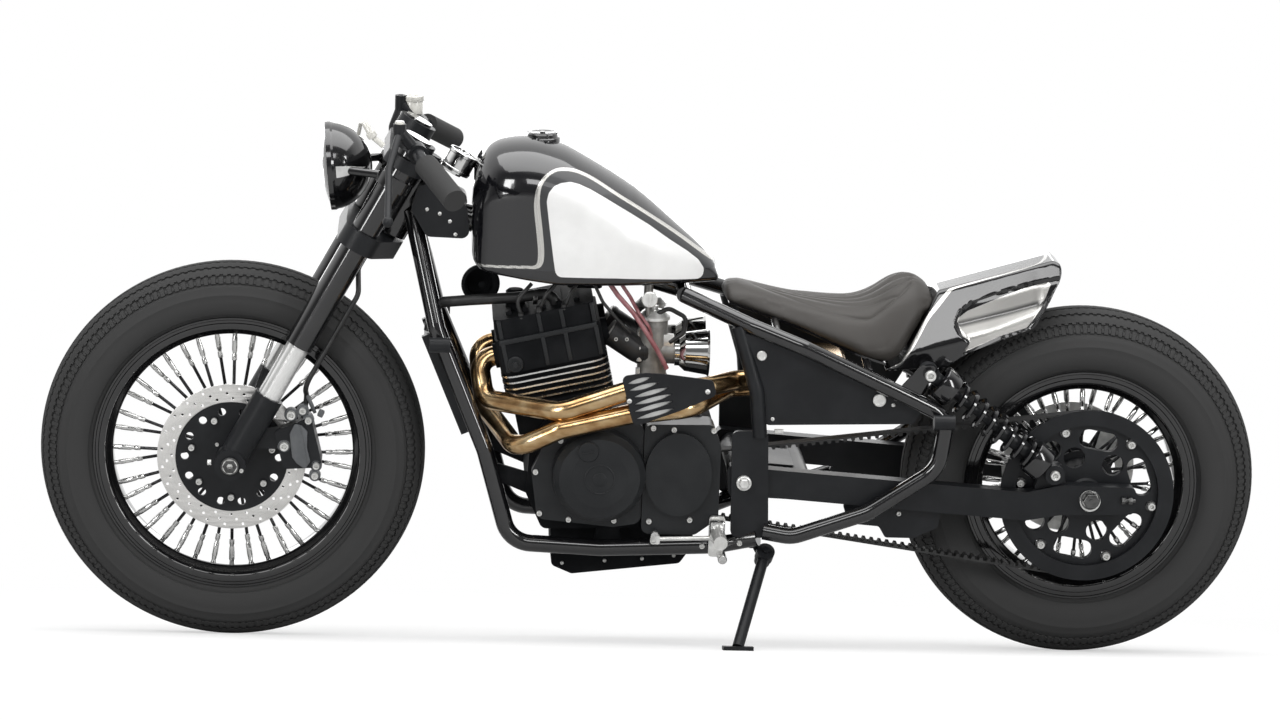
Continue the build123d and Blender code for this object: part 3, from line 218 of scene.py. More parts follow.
def smooth_line(points: list, steps: int = 6, closed: bool = False) -> list[Vector]:
    """Points along a curve that passes through the given ones.

    Args:
        points: Points in two or three dimensions.
        steps: Pieces between two given points.
        closed: Whether the curve closes on itself.

    Returns:
        Points along the curve.
    """
    spots = [Vector(p) for p in points]
    count = len(spots)
    ends = (lambda k: spots[k % count]) if closed else (lambda k: spots[min(max(k, 0), count - 1)])
    line = []
    for k in range(count if closed else count - 1):
        p0, p1, p2, p3 = ends(k - 1), ends(k), ends(k + 1), ends(k + 2)
        for s in range(steps):
            t = s / steps
            line.append(0.5 * (2 * p1 + (p2 - p0) * t + (2 * p0 - 5 * p1 + 4 * p2 - p3) * t * t
                               + (3 * p1 - p0 - 3 * p2 + p3) * t ** 3))
    return line if closed else line + [spots[-1]]


# Shader expressions


class Value:
    """A shader socket that carries a number and takes part in expressions."""

    def __init__(self, recipe: "Recipe", socket: Socket) -> None:
        """Wraps a socket of a recipe's tree."""
        self.recipe = recipe
        self.socket = socket

    def _math(self, operation: str, *parts: "Value | float") -> "Value":
        """Adds one Math node.

        Args:
            operation: The node's operation.
            parts: Its inputs in order.

        Returns:
            The node's result.
        """
        node = self.recipe.node("ShaderNodeMath", {"operation": operation}, dict(enumerate(parts)))
        return Value(self.recipe, node.outputs[0])

    def __add__(self, other: "Value | float") -> "Value":
        """Sum."""
        return self._math("ADD", self, other)

    __radd__ = __add__

    def __sub__(self, other: "Value | float") -> "Value":
        """Difference."""
        return self._math("SUBTRACT", self, other)

    def __rsub__(self, other: float) -> "Value":
        """Difference from a number."""
        return self._math("SUBTRACT", other, self)

    def __mul__(self, other: "Value | float") -> "Value":
        """Product."""
        return self._math("MULTIPLY", self, other)

    __rmul__ = __mul__

    def most(self, other: "Value | float") -> "Value":
        """The larger of two."""
        return self._math("MAXIMUM", self, other)

    def ramp(self, low: float, high: float, start: float = 0.0, end: float = 1.0) -> "Value":
        """Smooth step between two values.

        Args:
            low: Value at which it leaves start.
            high: Value at which it reaches end.
            start: Result below low.
            end: Result above high.

        Returns:
            The stepped value.
        """
        settings = {"interpolation_type": "SMOOTHSTEP", "clamp": True}
        inputs = {"Value": self, "From Min": low, "From Max": high, "To Min": start, "To Max": end}
        node = self.recipe.node("ShaderNodeMapRange", settings, inputs)
        return Value(self.recipe, node.outputs["Result"])


class Recipe:
    """The node tree of one material or of the world."""

    def __init__(self, owner: bpy.types.Material | bpy.types.World) -> None:
        """Empties the owner's tree."""
        owner.use_nodes = True
        self.owner = owner
        self.tree = owner.node_tree
        self.tree.nodes.clear()

    def node(self, kind: str, settings: dict | None = None, inputs: dict | None = None) -> bpy.types.Node:
        """Adds a node.

        Args:
            kind: The node's type.
            settings: Its own settings, set first; "stops" fills a colour ramp.
            inputs: Values or links by socket name or number.

        Returns:
            The node.
        """
        made = self.tree.nodes.new(kind)
        for key, value in (settings or {}).items():
            if key == "stops":
                self._fill_ramp(made.color_ramp, value)
            else:
                setattr(made, key, value)
        for key, value in (inputs or {}).items():
            socket = made.inputs[key]
            link = value.socket if isinstance(value, Value) else value
            if isinstance(link, Socket):
                self.tree.links.new(link, socket)
            elif isinstance(link, tuple) and len(link) == 3 and socket.type == "RGBA":
                socket.default_value = (*link, 1)
            else:
                socket.default_value = link
        return made

    @staticmethod
    def _fill_ramp(ramp: bpy.types.ColorRamp, stops: list[tuple[float, Rgb]]) -> None:
        """Sets a ramp's stops."""
        while len(ramp.elements) < len(stops):
            ramp.elements.new(0.5)
        for element, (place, colour) in zip(ramp.elements, stops):
            element.position = place
            element.color = (*colour, 1)

    def place(self) -> Socket:
        """Object coordinates, in metres."""
        return self.node("ShaderNodeTexCoord").outputs["Object"]

    def stretched(self, scale: Point, turn: Point = (0, 0, 0), origin: Point = (0, 0, 0)) -> Socket:
        """Object coordinates moved to an origin, turned and scaled."""
        moved = self.node("ShaderNodeVectorMath", {"operation": "SUBTRACT"}, {0: self.place(), 1: origin})
        mapped = self.node("ShaderNodeMapping", {}, {0: moved.outputs[0], "Rotation": turn, "Scale": scale})
        return mapped.outputs[0]

    def noise(self, size_mm: float, detail: float = 3.0, rough: float = 0.55,
              where: Socket | None = None) -> Value:
        """Noise from 0 to 1 whose blobs have a size in millimetres."""
        node = self.node("ShaderNodeTexNoise", {}, {"Vector": where or self.place(), "Scale": 1000 / size_mm,
                                                    "Detail": detail, "Roughness": rough})
        return Value(self, node.outputs["Fac"])

    def cells(self, size_mm: float, feature: str = "F1", where: Socket | None = None) -> Value:
        """Distance to the nearest cell centre or cell edge."""
        node = self.node("ShaderNodeTexVoronoi", {"feature": feature},
                         {"Vector": where or self.place(), "Scale": 1000 / size_mm})
        return Value(self, node.outputs["Distance"])

    def ray(self, kind: str) -> Value:
        """1 for rays of a kind, 0 for the others."""
        return Value(self, self.node("ShaderNodeLightPath").outputs[f"Is {kind} Ray"])

    def attribute(self, name: str) -> Value:
        """A number stored on the mesh."""
        node = self.node("ShaderNodeAttribute", {"attribute_name": name})
        return Value(self, node.outputs["Fac"])

    def mix(self, share: Value | float, first: object, second: object) -> Socket:
        """Colour between two colours."""
        inputs = {0: share, 6: self._colour(first), 7: self._colour(second)}
        return self.node("ShaderNodeMix", {"data_type": "RGBA"}, inputs).outputs[2]

    @staticmethod
    def _colour(value: object) -> object:
        """A colour with its alpha, or a link as it is."""
        return (*value, 1) if isinstance(value, tuple) else value

    def bump(self, height: Value, depth_mm: float, normal: Socket | None = None) -> Socket:
        """Normal raised by a height from 0 to 1."""
        inputs = {"Height": height, "Distance": depth_mm / 1000, "Strength": 1.0}
        if normal:
            inputs["Normal"] = normal
        return self.node("ShaderNodeBump", {}, inputs).outputs["Normal"]

    def surface(self, inputs: dict) -> bpy.types.Material:
        """Ends the tree in a principled surface.

        Args:
            inputs: Values or links of its sockets.

        Returns:
            The finished material.
        """
        shader = self.node("ShaderNodeBsdfPrincipled", {}, inputs)
        self.node("ShaderNodeOutputMaterial", {}, {"Surface": shader.outputs[0]})
        return self.owner


# Finishes


@dataclass(frozen=True)
class Finish:
    """A painted, cast, moulded or plated surface.

    Attributes:
        name: Name of the material.
        slot: The record's material slot. Not used by this script.
        colour: Main colour.
        tint: Colour that it drifts to.
        rough: Roughness.
        rough_drift: How far the roughness drifts.
        metallic: 1 for bare metal.
        coat: Weight of a clear coat.
        grain_mm: Size of the surface's grain.
        grain_depth: Depth of the grain in millimetres.
        drift_mm: Size of the colour's drift.
        specular: Strength of the bare surface's gloss.
    """

    name: str
    slot: str
    colour: Rgb
    tint: Rgb
    rough: float = 0.4
    rough_drift: float = 0.06
    metallic: float = 0.0
    coat: float = 0.0
    grain_mm: float = 1.0
    grain_depth: float = 0.02
    drift_mm: float = 60.0
    specular: float = 0.5

    def build(self) -> bpy.types.Material:
        """Makes the material."""
        recipe = Recipe(bpy.data.materials.new(self.name))
        drift = recipe.noise(self.drift_mm, 4.0)
        dust = recipe.noise(self.drift_mm / 9, 5.0)
        grain = recipe.noise(self.grain_mm, 2.0)
        rough = self.rough + (drift * 0.6 + dust * 0.4 - 0.5) * (2 * self.rough_drift)
        inputs = {"Base Color": recipe.mix(drift.ramp(0.35, 0.7), self.colour, self.tint),
                  "Roughness": rough, "Metallic": self.metallic, "Coat Weight": self.coat,
                  "Coat Roughness": 0.04, "Specular IOR Level": self.specular}
        if self.grain_depth:
            inputs["Normal"] = recipe.bump(grain, self.grain_depth)
        return recipe.surface(inputs)

    def material(self) -> bpy.types.Material:
        """The material, made once."""
        return bpy.data.materials.get(self.name) or self.build()


@dataclass(frozen=True)
class TurnedMetal(Finish):
    """Metal with fine rings about an axle left by turning or by the pads.

    Attributes:
        hub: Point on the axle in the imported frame.
        ring_mm: Spacing of the rings.
    """

    hub: Point = (0.0, 0.0, 0.0)
    ring_mm: float = 0.7

    def build(self) -> bpy.types.Material:
        """Makes the material."""
        recipe = Recipe(bpy.data.materials.new(self.name))
        turned = recipe.stretched((1, 1, 1), (radians(STANCE.lean), 0, 0), self.hub)
        flat = recipe.node("ShaderNodeVectorMath", {"operation": "MULTIPLY"}, {0: turned, 1: (1, 0, 1)})
        length = recipe.node("ShaderNodeVectorMath", {"operation": "LENGTH"}, {0: flat.outputs[0]})
        radius = Value(recipe, length.outputs["Value"])
        rings = recipe.node("ShaderNodeTexNoise", {"noise_dimensions": "1D"},
                            {"W": radius * (1000 / self.ring_mm), "Scale": 1.0, "Detail": 3.0})
        line = Value(recipe, rings.outputs["Fac"])
        drift = recipe.noise(self.drift_mm, 4.0)
        inputs = {"Base Color": recipe.mix(drift * 0.5 + line * 0.5, self.colour, self.tint),
                  "Roughness": self.rough + (line - 0.5) * (2 * self.rough_drift), "Metallic": self.metallic,
                  "Normal": recipe.bump(line, self.grain_depth)}
        return recipe.surface(inputs)


@dataclass(frozen=True)
class HeatedPipe(Finish):
    """Exhaust pipe whose gold turns brown in patches and straw along its length."""

    def build(self) -> bpy.types.Material:
        """Makes the material."""
        recipe = Recipe(bpy.data.materials.new(self.name))
        long_blobs = recipe.stretched((4, 9, 9))
        heat = recipe.noise(160, 4.0, 0.5, long_blobs)
        blush = recipe.noise(70, 3.0)
        bands = heat * 0.7 + blush * 0.3
        ramp = recipe.node("ShaderNodeValToRGB", {"stops": [
            (0.30, (0.30, 0.155, 0.065)), (0.43, (0.47, 0.29, 0.135)), (0.55, (0.64, 0.45, 0.24)),
            (0.70, (0.76, 0.60, 0.38))]}, {"Fac": bands})
        scratch = recipe.noise(1.2, 3.0, 0.6, recipe.stretched((0.2, 1, 1)))
        inputs = {"Base Color": ramp.outputs[0], "Metallic": 1.0,
                  "Roughness": self.rough + (blush - 0.5) * 0.18 + (scratch - 0.5) * 0.08,
                  "Normal": recipe.bump(scratch, 0.015)}
        return recipe.surface(inputs)


@dataclass(frozen=True)
class SeatLeather(Finish):
    """Leather with a pebbled grain, rubbed lighter where the rider sits, with painted shade darkening it
    along the seams.
    """

    def build(self) -> bpy.types.Material:
        """Makes the material."""
        recipe = Recipe(bpy.data.materials.new(self.name))
        pebble = recipe.cells(2.1, "DISTANCE_TO_EDGE").ramp(0.0, 0.45)
        crease = recipe.noise(9, 5.0, 0.65)
        drift = recipe.noise(55, 3.0)
        worn = recipe.noise(24, 5.0)
        shade = recipe.mix(drift.ramp(0.3, 0.75), self.colour, self.tint)
        rubbed = recipe.mix(worn.ramp(0.5, 0.85) * 0.35, shade, (0.075, 0.066, 0.058))
        # painted shade: near black along the seams' grooves, fading out within 3 mm
        painted_seam_shade = recipe.mix(recipe.attribute("seam").ramp(0.6, 3.0, 0.85, 0.0), rubbed, (0.004, 0.0035, 0.003))
        pores = recipe.mix((1 - pebble) * 0.5, painted_seam_shade, (0.006, 0.005, 0.005))
        soft = recipe.bump(crease, 0.5)
        inputs = {"Base Color": pores, "Roughness": self.rough + (drift - 0.5) * 0.2 - pebble * 0.08,
                  "Specular IOR Level": 0.4, "Normal": recipe.bump(pebble, 0.14, soft)}
        return recipe.surface(inputs)


@dataclass(frozen=True)
class TyreRubber(Finish):
    """Tyre rubber, duller and greyer on the tread than on its flanks."""

    def build(self) -> bpy.types.Material:
        """Makes the material."""
        recipe = Recipe(bpy.data.materials.new(self.name))
        bloom = recipe.noise(90, 5.0, 0.6)
        fine = recipe.noise(1.6, 3.0)
        tread = recipe.attribute("tread")
        flank = recipe.mix(bloom.ramp(0.35, 0.75), self.colour, self.tint)
        inputs = {"Base Color": recipe.mix(tread * (0.35 + bloom * 0.5), flank, (0.045, 0.044, 0.043)),
                  "Roughness": self.rough + (bloom - 0.5) * 0.16 + tread * 0.14,
                  "Specular IOR Level": 0.3, "Normal": recipe.bump(fine, 0.05)}
        return recipe.surface(inputs)


@dataclass(frozen=True)
class TankPaint(Finish):
    """Gloss black tank with a silver stripe, a satin grey border and a pale panel.

    The mesh carries how far each point is from the panel's edge and from the stripe's line.
    """

    stripe: Rgb = (0.62, 0.61, 0.58)
    border: Rgb = (0.030, 0.031, 0.033)
    panel: Rgb = (0.88, 0.88, 0.872)

    def build(self) -> bpy.types.Material:
        """Makes the material."""
        recipe = Recipe(bpy.data.materials.new(self.name))
        panel = recipe.attribute("panel")
        stripe = recipe.attribute("stripe")
        inside = panel.ramp(-0.4, 0.4, 1.0, 0.0)
        border = recipe.attribute("border").ramp(-0.4, 0.4, 1.0, 0.0)
        line = stripe.ramp(-0.4, 0.4, 1.0, 0.0)
        drift = recipe.noise(80, 3.0)
        flake = recipe.noise(0.7, 2.0)
        black = recipe.mix(drift * 0.4, self.colour, self.tint)
        edged = recipe.mix(border, black, self.border)
        lined = recipe.mix(line, edged, self.stripe)
        silver = recipe.mix(drift.ramp(0.3, 0.7), self.panel, (0.80, 0.80, 0.79))
        shade = recipe.mix(inside, lined, recipe.mix(flake.ramp(0.3, 0.8) * 0.12, silver, (0.5, 0.5, 0.5)))
        satin = border.most(inside)
        peel = recipe.noise(3.5, 2.0)
        inputs = {"Base Color": shade,
                  "Roughness": self.rough + satin * 0.30 + line * 0.12 - inside * 0.12 + (drift - 0.5) * 0.04,
                  "Metallic": line * 0.75 + inside * 0.12, "Coat Weight": 1 - satin * 0.65,
                  "Coat Roughness": 0.03, "Normal": recipe.bump(peel, 0.006)}
        return recipe.surface(inputs)


@dataclass(frozen=True)
class TailPaint(Finish):
    """Gloss black tail with a silver stripe along its edge and in its scoops, and painted shade darkening the
    scoops along their fold.
    """

    def build(self) -> bpy.types.Material:
        """Makes the material."""
        recipe = Recipe(bpy.data.materials.new(self.name))
        line = recipe.attribute("stripe").ramp(-0.4, 0.4, 1.0, 0.0)
        scoop = recipe.attribute("scoop").ramp(0.1, 0.6)
        drift = recipe.noise(70, 3.0)
        flake = recipe.noise(0.8, 2.0)
        silver = recipe.mix(flake.ramp(0.3, 0.8) * 0.2, (0.62, 0.61, 0.585), (0.42, 0.41, 0.40))
        black = recipe.mix(drift * 0.4, self.colour, self.tint)
        bright = line.most(scoop)
        # painted shade: the silver scoops darken to near black along their fold line
        shade = recipe.attribute("fold").ramp(1, 9, 1.0, 0.0) * scoop
        plain = recipe.mix(bright, black, silver)
        inputs = {"Base Color": recipe.mix(shade * 0.85, plain, (0.03, 0.03, 0.032)),
                  "Metallic": bright * 0.85,
                  "Roughness": self.rough + bright * 0.16 + (drift - 0.5) * 0.04,
                  "Coat Weight": 1.0, "Coat Roughness": 0.03,
                  "Normal": recipe.bump(recipe.noise(3.5, 2.0), 0.006)}
        return recipe.surface(inputs)


@dataclass(frozen=True)
class ClearGlass(Finish):
    """Moulded glass with a faint ripple."""

    def build(self) -> bpy.types.Material:
        """Makes the material."""
        recipe = Recipe(bpy.data.materials.new(self.name))
        ripple = recipe.noise(14, 2.0)
        specks = recipe.noise(2.5, 4.0)
        inputs = {"Base Color": recipe.mix(specks.ramp(0.6, 0.9) * 0.4, self.colour, self.tint),
                  "Roughness": self.rough + specks.ramp(0.55, 0.9) * 0.08, "Transmission Weight": 1.0,
                  "IOR": 1.45, "Normal": recipe.bump(ripple, 0.05)}
        return recipe.surface(inputs)


GLOSS_BLACK = Finish("gloss_black_paint", "gloss_black", (0.0045, 0.0045, 0.0052), (0.008, 0.008, 0.0088),
                     rough=0.16, rough_drift=0.03, coat=1.0, grain_mm=3.5, grain_depth=0.006)
SATIN_BLACK = Finish("satin_black_coat", "satin_black", (0.0070, 0.0077, 0.0092), (0.0114, 0.0124, 0.0142),
                     rough=0.42, rough_drift=0.07, grain_mm=0.9, grain_depth=0.025, specular=0.32)
CAST_BLACK = Finish("cast_black_coat", "satin_black", (0.0065, 0.007, 0.0078), (0.0125, 0.013, 0.0142),
                    rough=0.62, rough_drift=0.09, grain_mm=1.6, grain_depth=0.09, specular=0.05)
COVER_BLACK = Finish("cover_black_coat", "satin_black", (0.0095, 0.0105, 0.0118), (0.0145, 0.0157, 0.0170),
                     rough=0.40, rough_drift=0.06, grain_mm=0.8, grain_depth=0.03, specular=0.36)
RIM_BLACK = Finish("rim_black_paint", "gloss_black", (0.0045, 0.0045, 0.005), (0.009, 0.009, 0.0095),
                   rough=0.12, rough_drift=0.03, coat=1.0, grain_mm=3, grain_depth=0.004)
CHROME = Finish("chrome_plate", "chrome", (0.80, 0.80, 0.79), (0.72, 0.72, 0.71), rough=0.08,
                rough_drift=0.03, metallic=1.0, grain_mm=5, grain_depth=0.004)
# painted reflection: the fork tubes' chrome is half matt and near white, standing for the bright reflection
# along them
TUBE_CHROME_PAINTED_SHEEN = Finish("fork_tube_chrome_painted_sheen", "chrome", (0.90, 0.90, 0.89), (0.80, 0.80, 0.79), rough=0.16,
                     rough_drift=0.04, metallic=0.6, grain_mm=5, grain_depth=0.004)
SPOKE_STEEL = Finish("spoke_steel", "bright_spokes", (0.74, 0.74, 0.73), (0.62, 0.62, 0.61), rough=0.14,
                     rough_drift=0.05, metallic=1.0, grain_mm=2, grain_depth=0.006, drift_mm=30)
SPOKE_DARK = Finish("spoke_shaft", "bright_spokes", (0.055, 0.055, 0.057), (0.025, 0.025, 0.026), rough=0.22,
                    rough_drift=0.06, metallic=0.9, grain_mm=2, grain_depth=0.006, drift_mm=25)
ZINC = Finish("zinc_steel", "plain_steel", (0.84, 0.84, 0.82), (0.66, 0.66, 0.64), rough=0.30,
              rough_drift=0.10, metallic=0.65, grain_mm=0.7, grain_depth=0.012, drift_mm=14)
DARK_STEEL = Finish("dark_steel", "plain_steel", (0.16, 0.16, 0.158), (0.07, 0.07, 0.07), rough=0.36,
                    rough_drift=0.1, metallic=1.0, grain_mm=0.8, grain_depth=0.02, drift_mm=16)
CAST_GREY = Finish("cast_alloy", "cast_grey", (0.33, 0.325, 0.31), (0.22, 0.215, 0.205), rough=0.46,
                   rough_drift=0.10, metallic=0.75, grain_mm=1.1, grain_depth=0.06, drift_mm=20)
MACHINED = Finish("machined_alloy", "cast_grey", (0.78, 0.78, 0.77), (0.66, 0.66, 0.65), rough=0.27,
                  rough_drift=0.07, metallic=1.0, grain_mm=0.5, grain_depth=0.008, drift_mm=18)
PIPE = HeatedPipe("heated_bronze_pipe", "bronze_pipe", (0.6, 0.4, 0.18), (0.4, 0.24, 0.1), rough=0.2)
RUBBER = TyreRubber("tyre_rubber", "tyre_rubber", (0.0080, 0.0083, 0.0092), (0.0135, 0.0138, 0.0148),
                    rough=0.5)
GRIP = Finish("grip_rubber", "grip_rubber", (0.016, 0.016, 0.017), (0.026, 0.026, 0.026), rough=0.68,
              grain_mm=0.6, grain_depth=0.04)
HOSE = Finish("hose_rubber", "grip_rubber", (0.012, 0.012, 0.0125), (0.024, 0.024, 0.024), rough=0.42,
              grain_mm=0.9, grain_depth=0.02, drift_mm=25)
FUEL_HOSE = Finish("fuel_hose", "grip_rubber", (0.26, 0.085, 0.095), (0.36, 0.16, 0.17), rough=0.3,
                   coat=0.5, grain_mm=2, grain_depth=0.01, drift_mm=18)
BELT = Finish("belt_rubber", "tyre_rubber", (0.014, 0.014, 0.014), (0.026, 0.026, 0.026), rough=0.62,
              grain_mm=0.7, grain_depth=0.05, drift_mm=30)
LEATHER = SeatLeather("seat_leather", "seat_leather", (0.023, 0.020, 0.0185), (0.036, 0.032, 0.029),
                      rough=0.5)
TANK_PAINT = TankPaint("tank_paint", "gloss_black", (0.0042, 0.0042, 0.0055), (0.007, 0.0068, 0.0085),
                       rough=0.13)
TAIL_PAINT = TailPaint("tail_paint", "gloss_black", (0.0045, 0.0045, 0.0052), (0.008, 0.008, 0.0085),
                       rough=0.14)
GLASS = ClearGlass("lamp_glass", "lens_glass", (0.97, 0.98, 0.98), (0.85, 0.86, 0.86), rough=0.02)
CLEAR_POT = Finish("clouded_reservoir", "lens_glass", (0.70, 0.69, 0.64), (0.55, 0.54, 0.50), rough=0.25,
                   coat=0.6, grain_mm=2, grain_depth=0.01, drift_mm=14)
DIAL = Finish("dial_face", "satin_black", (0.012, 0.012, 0.012), (0.02, 0.02, 0.02), rough=0.5,
              grain_depth=0.01)
DIAL_INK = Finish("dial_ink", "satin_black", (0.75, 0.75, 0.73), (0.68, 0.68, 0.66), rough=0.5,
                  grain_depth=0.0)
SILVER = Finish("silver_paint", "cast_grey", (0.74, 0.74, 0.73), (0.62, 0.62, 0.61), rough=0.32, metallic=0.3,
                grain_mm=0.7, grain_depth=0.01, drift_mm=24)
CALIPER_GREY = Finish("caliper_face_coat", "satin_black", (0.085, 0.09, 0.095), (0.11, 0.115, 0.12),
                      rough=0.45, grain_mm=0.9, grain_depth=0.03, drift_mm=20)
SIGNAL_RED = Finish("red_clip", "gloss_black", (0.55, 0.02, 0.015), (0.42, 0.015, 0.012), rough=0.3, coat=0.4)


# Meshes


def linked(name: str, data: bpy.types.ID) -> bpy.types.Object:
    """New object in the scene."""
    made = bpy.data.objects.new(name, data)
    bpy.context.scene.collection.objects.link(made)
    return made


def evaluated(made: bpy.types.Object) -> bpy.types.Mesh:
    """Plain mesh of an object with its modifiers."""
    return bpy.data.meshes.new_from_object(made.evaluated_get(bpy.context.evaluated_depsgraph_get()))


def joined(name: str, meshes: list[bpy.types.Mesh]) -> bpy.types.Mesh:
    """One mesh from several, which are removed."""
    whole = bmesh.new()
    for mesh in meshes:
        whole.from_mesh(mesh)
        bpy.data.meshes.remove(mesh)
    made = bpy.data.meshes.new(name)
    whole.to_mesh(made)
    whole.free()
    return made


class Shape:
    """A mesh drawn upright in millimetres, with a finish for each group of faces."""

    def __init__(self, *finishes: Finish) -> None:
        """Starts an empty mesh whose faces take the first finish."""
        self.bm = bmesh.new()
        self.finishes = finishes
        self.slot = 0

    def face(self, verts: list[bmesh.types.BMVert]) -> None:
        """Adds one face unless its corners coincide."""
        corners = list(dict.fromkeys(verts))
        if len(corners) > 2:
            made = self.bm.faces.new(corners)
            made.material_index = self.slot

    def skin(self, rings: list[list[bmesh.types.BMVert]], closed: bool = False, capped: bool = False) -> None:
        """Joins rings of equal or single points by faces.

        Args:
            rings: The rings in order.
            closed: Whether the last ring joins the first.
            capped: Whether the first and last rings are filled.
        """
        pairs = list(zip(rings, rings[1:]))
        if closed:
            pairs.append((rings[-1], rings[0]))
        for low, high in pairs:
            count = max(len(low), len(high))
            for k in range(count):
                n = (k + 1) % count
                self.face([low[k % len(low)], low[n % len(low)], high[n % len(high)], high[k % len(high)]])
        if capped:
            self.face(rings[0][::-1])
            self.face(rings[-1])

    def ring(self, spots: list[Vector]) -> list[bmesh.types.BMVert]:
        """Points of one ring."""
        return [self.bm.verts.new(spot) for spot in spots]

    def turned(self, profile: list[Flat], at: Matrix, steps: int = 48, closed: bool = False) -> None:
        """Turns a profile about the z of a frame.

        Args:
            profile: Points (radius, height along the axis).
            at: The frame.
            steps: Pieces round the turn.
            closed: Whether the profile closes on itself.
        """
        rings = []
        for radius, high in profile:
            spots = circle(radius, steps) if radius else [(0.0, 0.0)]
            rings.append(self.ring([at @ Vector((u, v, high)) for u, v in spots]))
        self.skin(rings, closed)

    def bar(self, points: list, radius: float | list[float], sides: int = 14, bend: float | list[float] = 0.0,
            steps: int = 8, closed: bool = False) -> None:
        """Round bar along a line.

        Args:
            points: Points of the line.
            radius: Its radius, or one for each point of a line without bends.
            sides: Pieces round the bar.
            bend: Radius of its corners.
            steps: Pieces in each corner.
            closed: Whether the bar closes on itself.
        """
        line = rounded(points, bend, steps, False) if bend else [Vector(p) for p in points]
        line = [spot for k, spot in enumerate(line) if k == 0 or (spot - line[k - 1]).length > 0.01]
        sizes = [radius] * len(line) if isinstance(radius, (int, float)) else list(radius)
        count = len(line)
        across, rings = None, []
        for k in range(count):
            before = line[k - 1] if closed or k else line[0]
            after = line[(k + 1) % count] if closed or k < count - 1 else line[-1]
            along = (after - before).normalized()
            if across is None:
                hint = Vector((0, 0, 1)) if abs(along.z) < 0.9 else Vector((1, 0, 0))
                across = hint.cross(along).normalized()
            across = (across - along * across.dot(along)).normalized()
            other = along.cross(across)
            around = [(across * u + other * v) * sizes[k] for u, v in circle(1, sides)]
            rings.append(self.ring([line[k] + away for away in around]))
        self.skin(rings, closed, not closed)

    def panel(self, outlines: list[list], at: Matrix, thick: float, bevel: float = 0.0) -> None:
        """Plate with holes and eased edges.

        Args:
            outlines: The closed outline first, then those of its holes.
            at: Frame whose z is the plate's thickness, from its lower face.
            thick: Thickness.
            bevel: Easing of the edges, taken from the plate.
        """
        curve = bpy.data.curves.new("plate_outline", "CURVE")
        curve.dimensions, curve.fill_mode = "2D", "BOTH"
        curve.extrude, curve.bevel_depth, curve.bevel_resolution = thick / 2 - bevel, bevel, 1
        curve.offset = -bevel
        for outline in outlines:
            spline = curve.splines.new("POLY")
            spline.points.add(len(outline) - 1)
            for point, spot in zip(spline.points, outline):
                point.co = (spot[0], spot[1], 0, 1)
            spline.use_cyclic_u = True
        holder = linked("plate_outline", curve)
        mesh = evaluated(holder)
        part = bmesh.new()
        part.from_mesh(mesh)
        bmesh.ops.transform(part, matrix=at @ moved_by(0, 0, thick / 2), verts=part.verts)
        self.take(part)
        bpy.data.objects.remove(holder)
        bpy.data.curves.remove(curve)
        bpy.data.meshes.remove(mesh)

    def take(self, part: bmesh.types.BMesh) -> None:
        """Adds another mesh's faces and frees it."""
        bmesh.ops.remove_doubles(part, verts=part.verts, dist=0.001)
        copies = {vert: self.bm.verts.new(vert.co) for vert in part.verts}
        for old in part.faces:
            self.face([copies[vert] for vert in old.verts])
        part.free()

    def block(self, size: Point, at: Matrix, bevel: float = 1.0, taper: float = 1.0) -> None:
        """Block with eased edges standing on a frame's origin.

        Args:
            size: Its size along the frame's x, y and z.
            at: The frame.
            bevel: Easing of its edges.
            taper: Size of its top against its foot.
        """
        part = bmesh.new()
        wide, deep, tall = size[0] / 2, size[1] / 2, size[2]
        corners = [(-1, -1), (1, -1), (1, 1), (-1, 1)]
        low = [part.verts.new((u * wide, v * deep, 0)) for u, v in corners]
        high = [part.verts.new((u * wide * taper, v * deep * taper, tall)) for u, v in corners]
        part.faces.new(low[::-1])
        part.faces.new(high)
        for k in range(4):
            part.faces.new([low[k], low[(k + 1) % 4], high[(k + 1) % 4], high[k]])
        if bevel:
            bmesh.ops.bevel(part, geom=list(part.edges), offset=bevel, segments=2, affect="EDGES",
                            profile=0.5)
        bmesh.ops.transform(part, matrix=at, verts=part.verts)
        self.take(part)

    def mirrored(self) -> None:
        """Adds the mirror image on the machine's other side."""
        faces = [(list(f.verts), f.material_index) for f in self.bm.faces]
        copies = {v: self.bm.verts.new((v.co.x, -v.co.y, v.co.z)) for v in list(self.bm.verts)}
        for verts, index in faces:
            made = self.bm.faces.new([copies[v] for v in reversed(verts)])
            made.material_index = index

    def mark(self, name: str, values: np.ndarray) -> None:
        """Stores a number on every point."""
        layer = self.bm.verts.layers.float.new(name)
        for vert, value in zip(self.bm.verts, values):
            vert[layer] = value

    def turn_out(self) -> None:
        """Turns the faces outwards."""
        bmesh.ops.recalc_face_normals(self.bm, faces=self.bm.faces)

    def park(self) -> None:
        """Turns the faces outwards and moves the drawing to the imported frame."""
        self.turn_out()
        bmesh.ops.transform(self.bm, matrix=PARKED, verts=self.bm.verts)

    def mesh(self, name: str) -> bpy.types.Mesh:
        """Plain mesh of the shape, which is freed."""
        made = bpy.data.meshes.new(name)
        self.bm.to_mesh(made)
        self.bm.free()
        return made

    def piece(self, name: str, body: str, crease: float = 32.0, replaced: tuple[str, ...] = (),
              marks: dict | None = None) -> bpy.types.Object:
        """Parks the mesh and makes it a piece that rides on a body.

        Args:
            name: Name of the piece.
            body: Body that carries it.
            crease: Angle above which an edge stays sharp.
            replaced: Solids that the piece stands for.
            marks: Numbers to store on the mesh, worked out from its drawn points.

        Returns:
            The piece.
        """
        drawn = np.array([vert.co for vert in self.bm.verts])
        for mark, measure in (marks or {}).items():
            self.mark(mark, measure(drawn))
        self.park()
        return settle(self.mesh(name), name, body, self.finishes, crease, replaced)


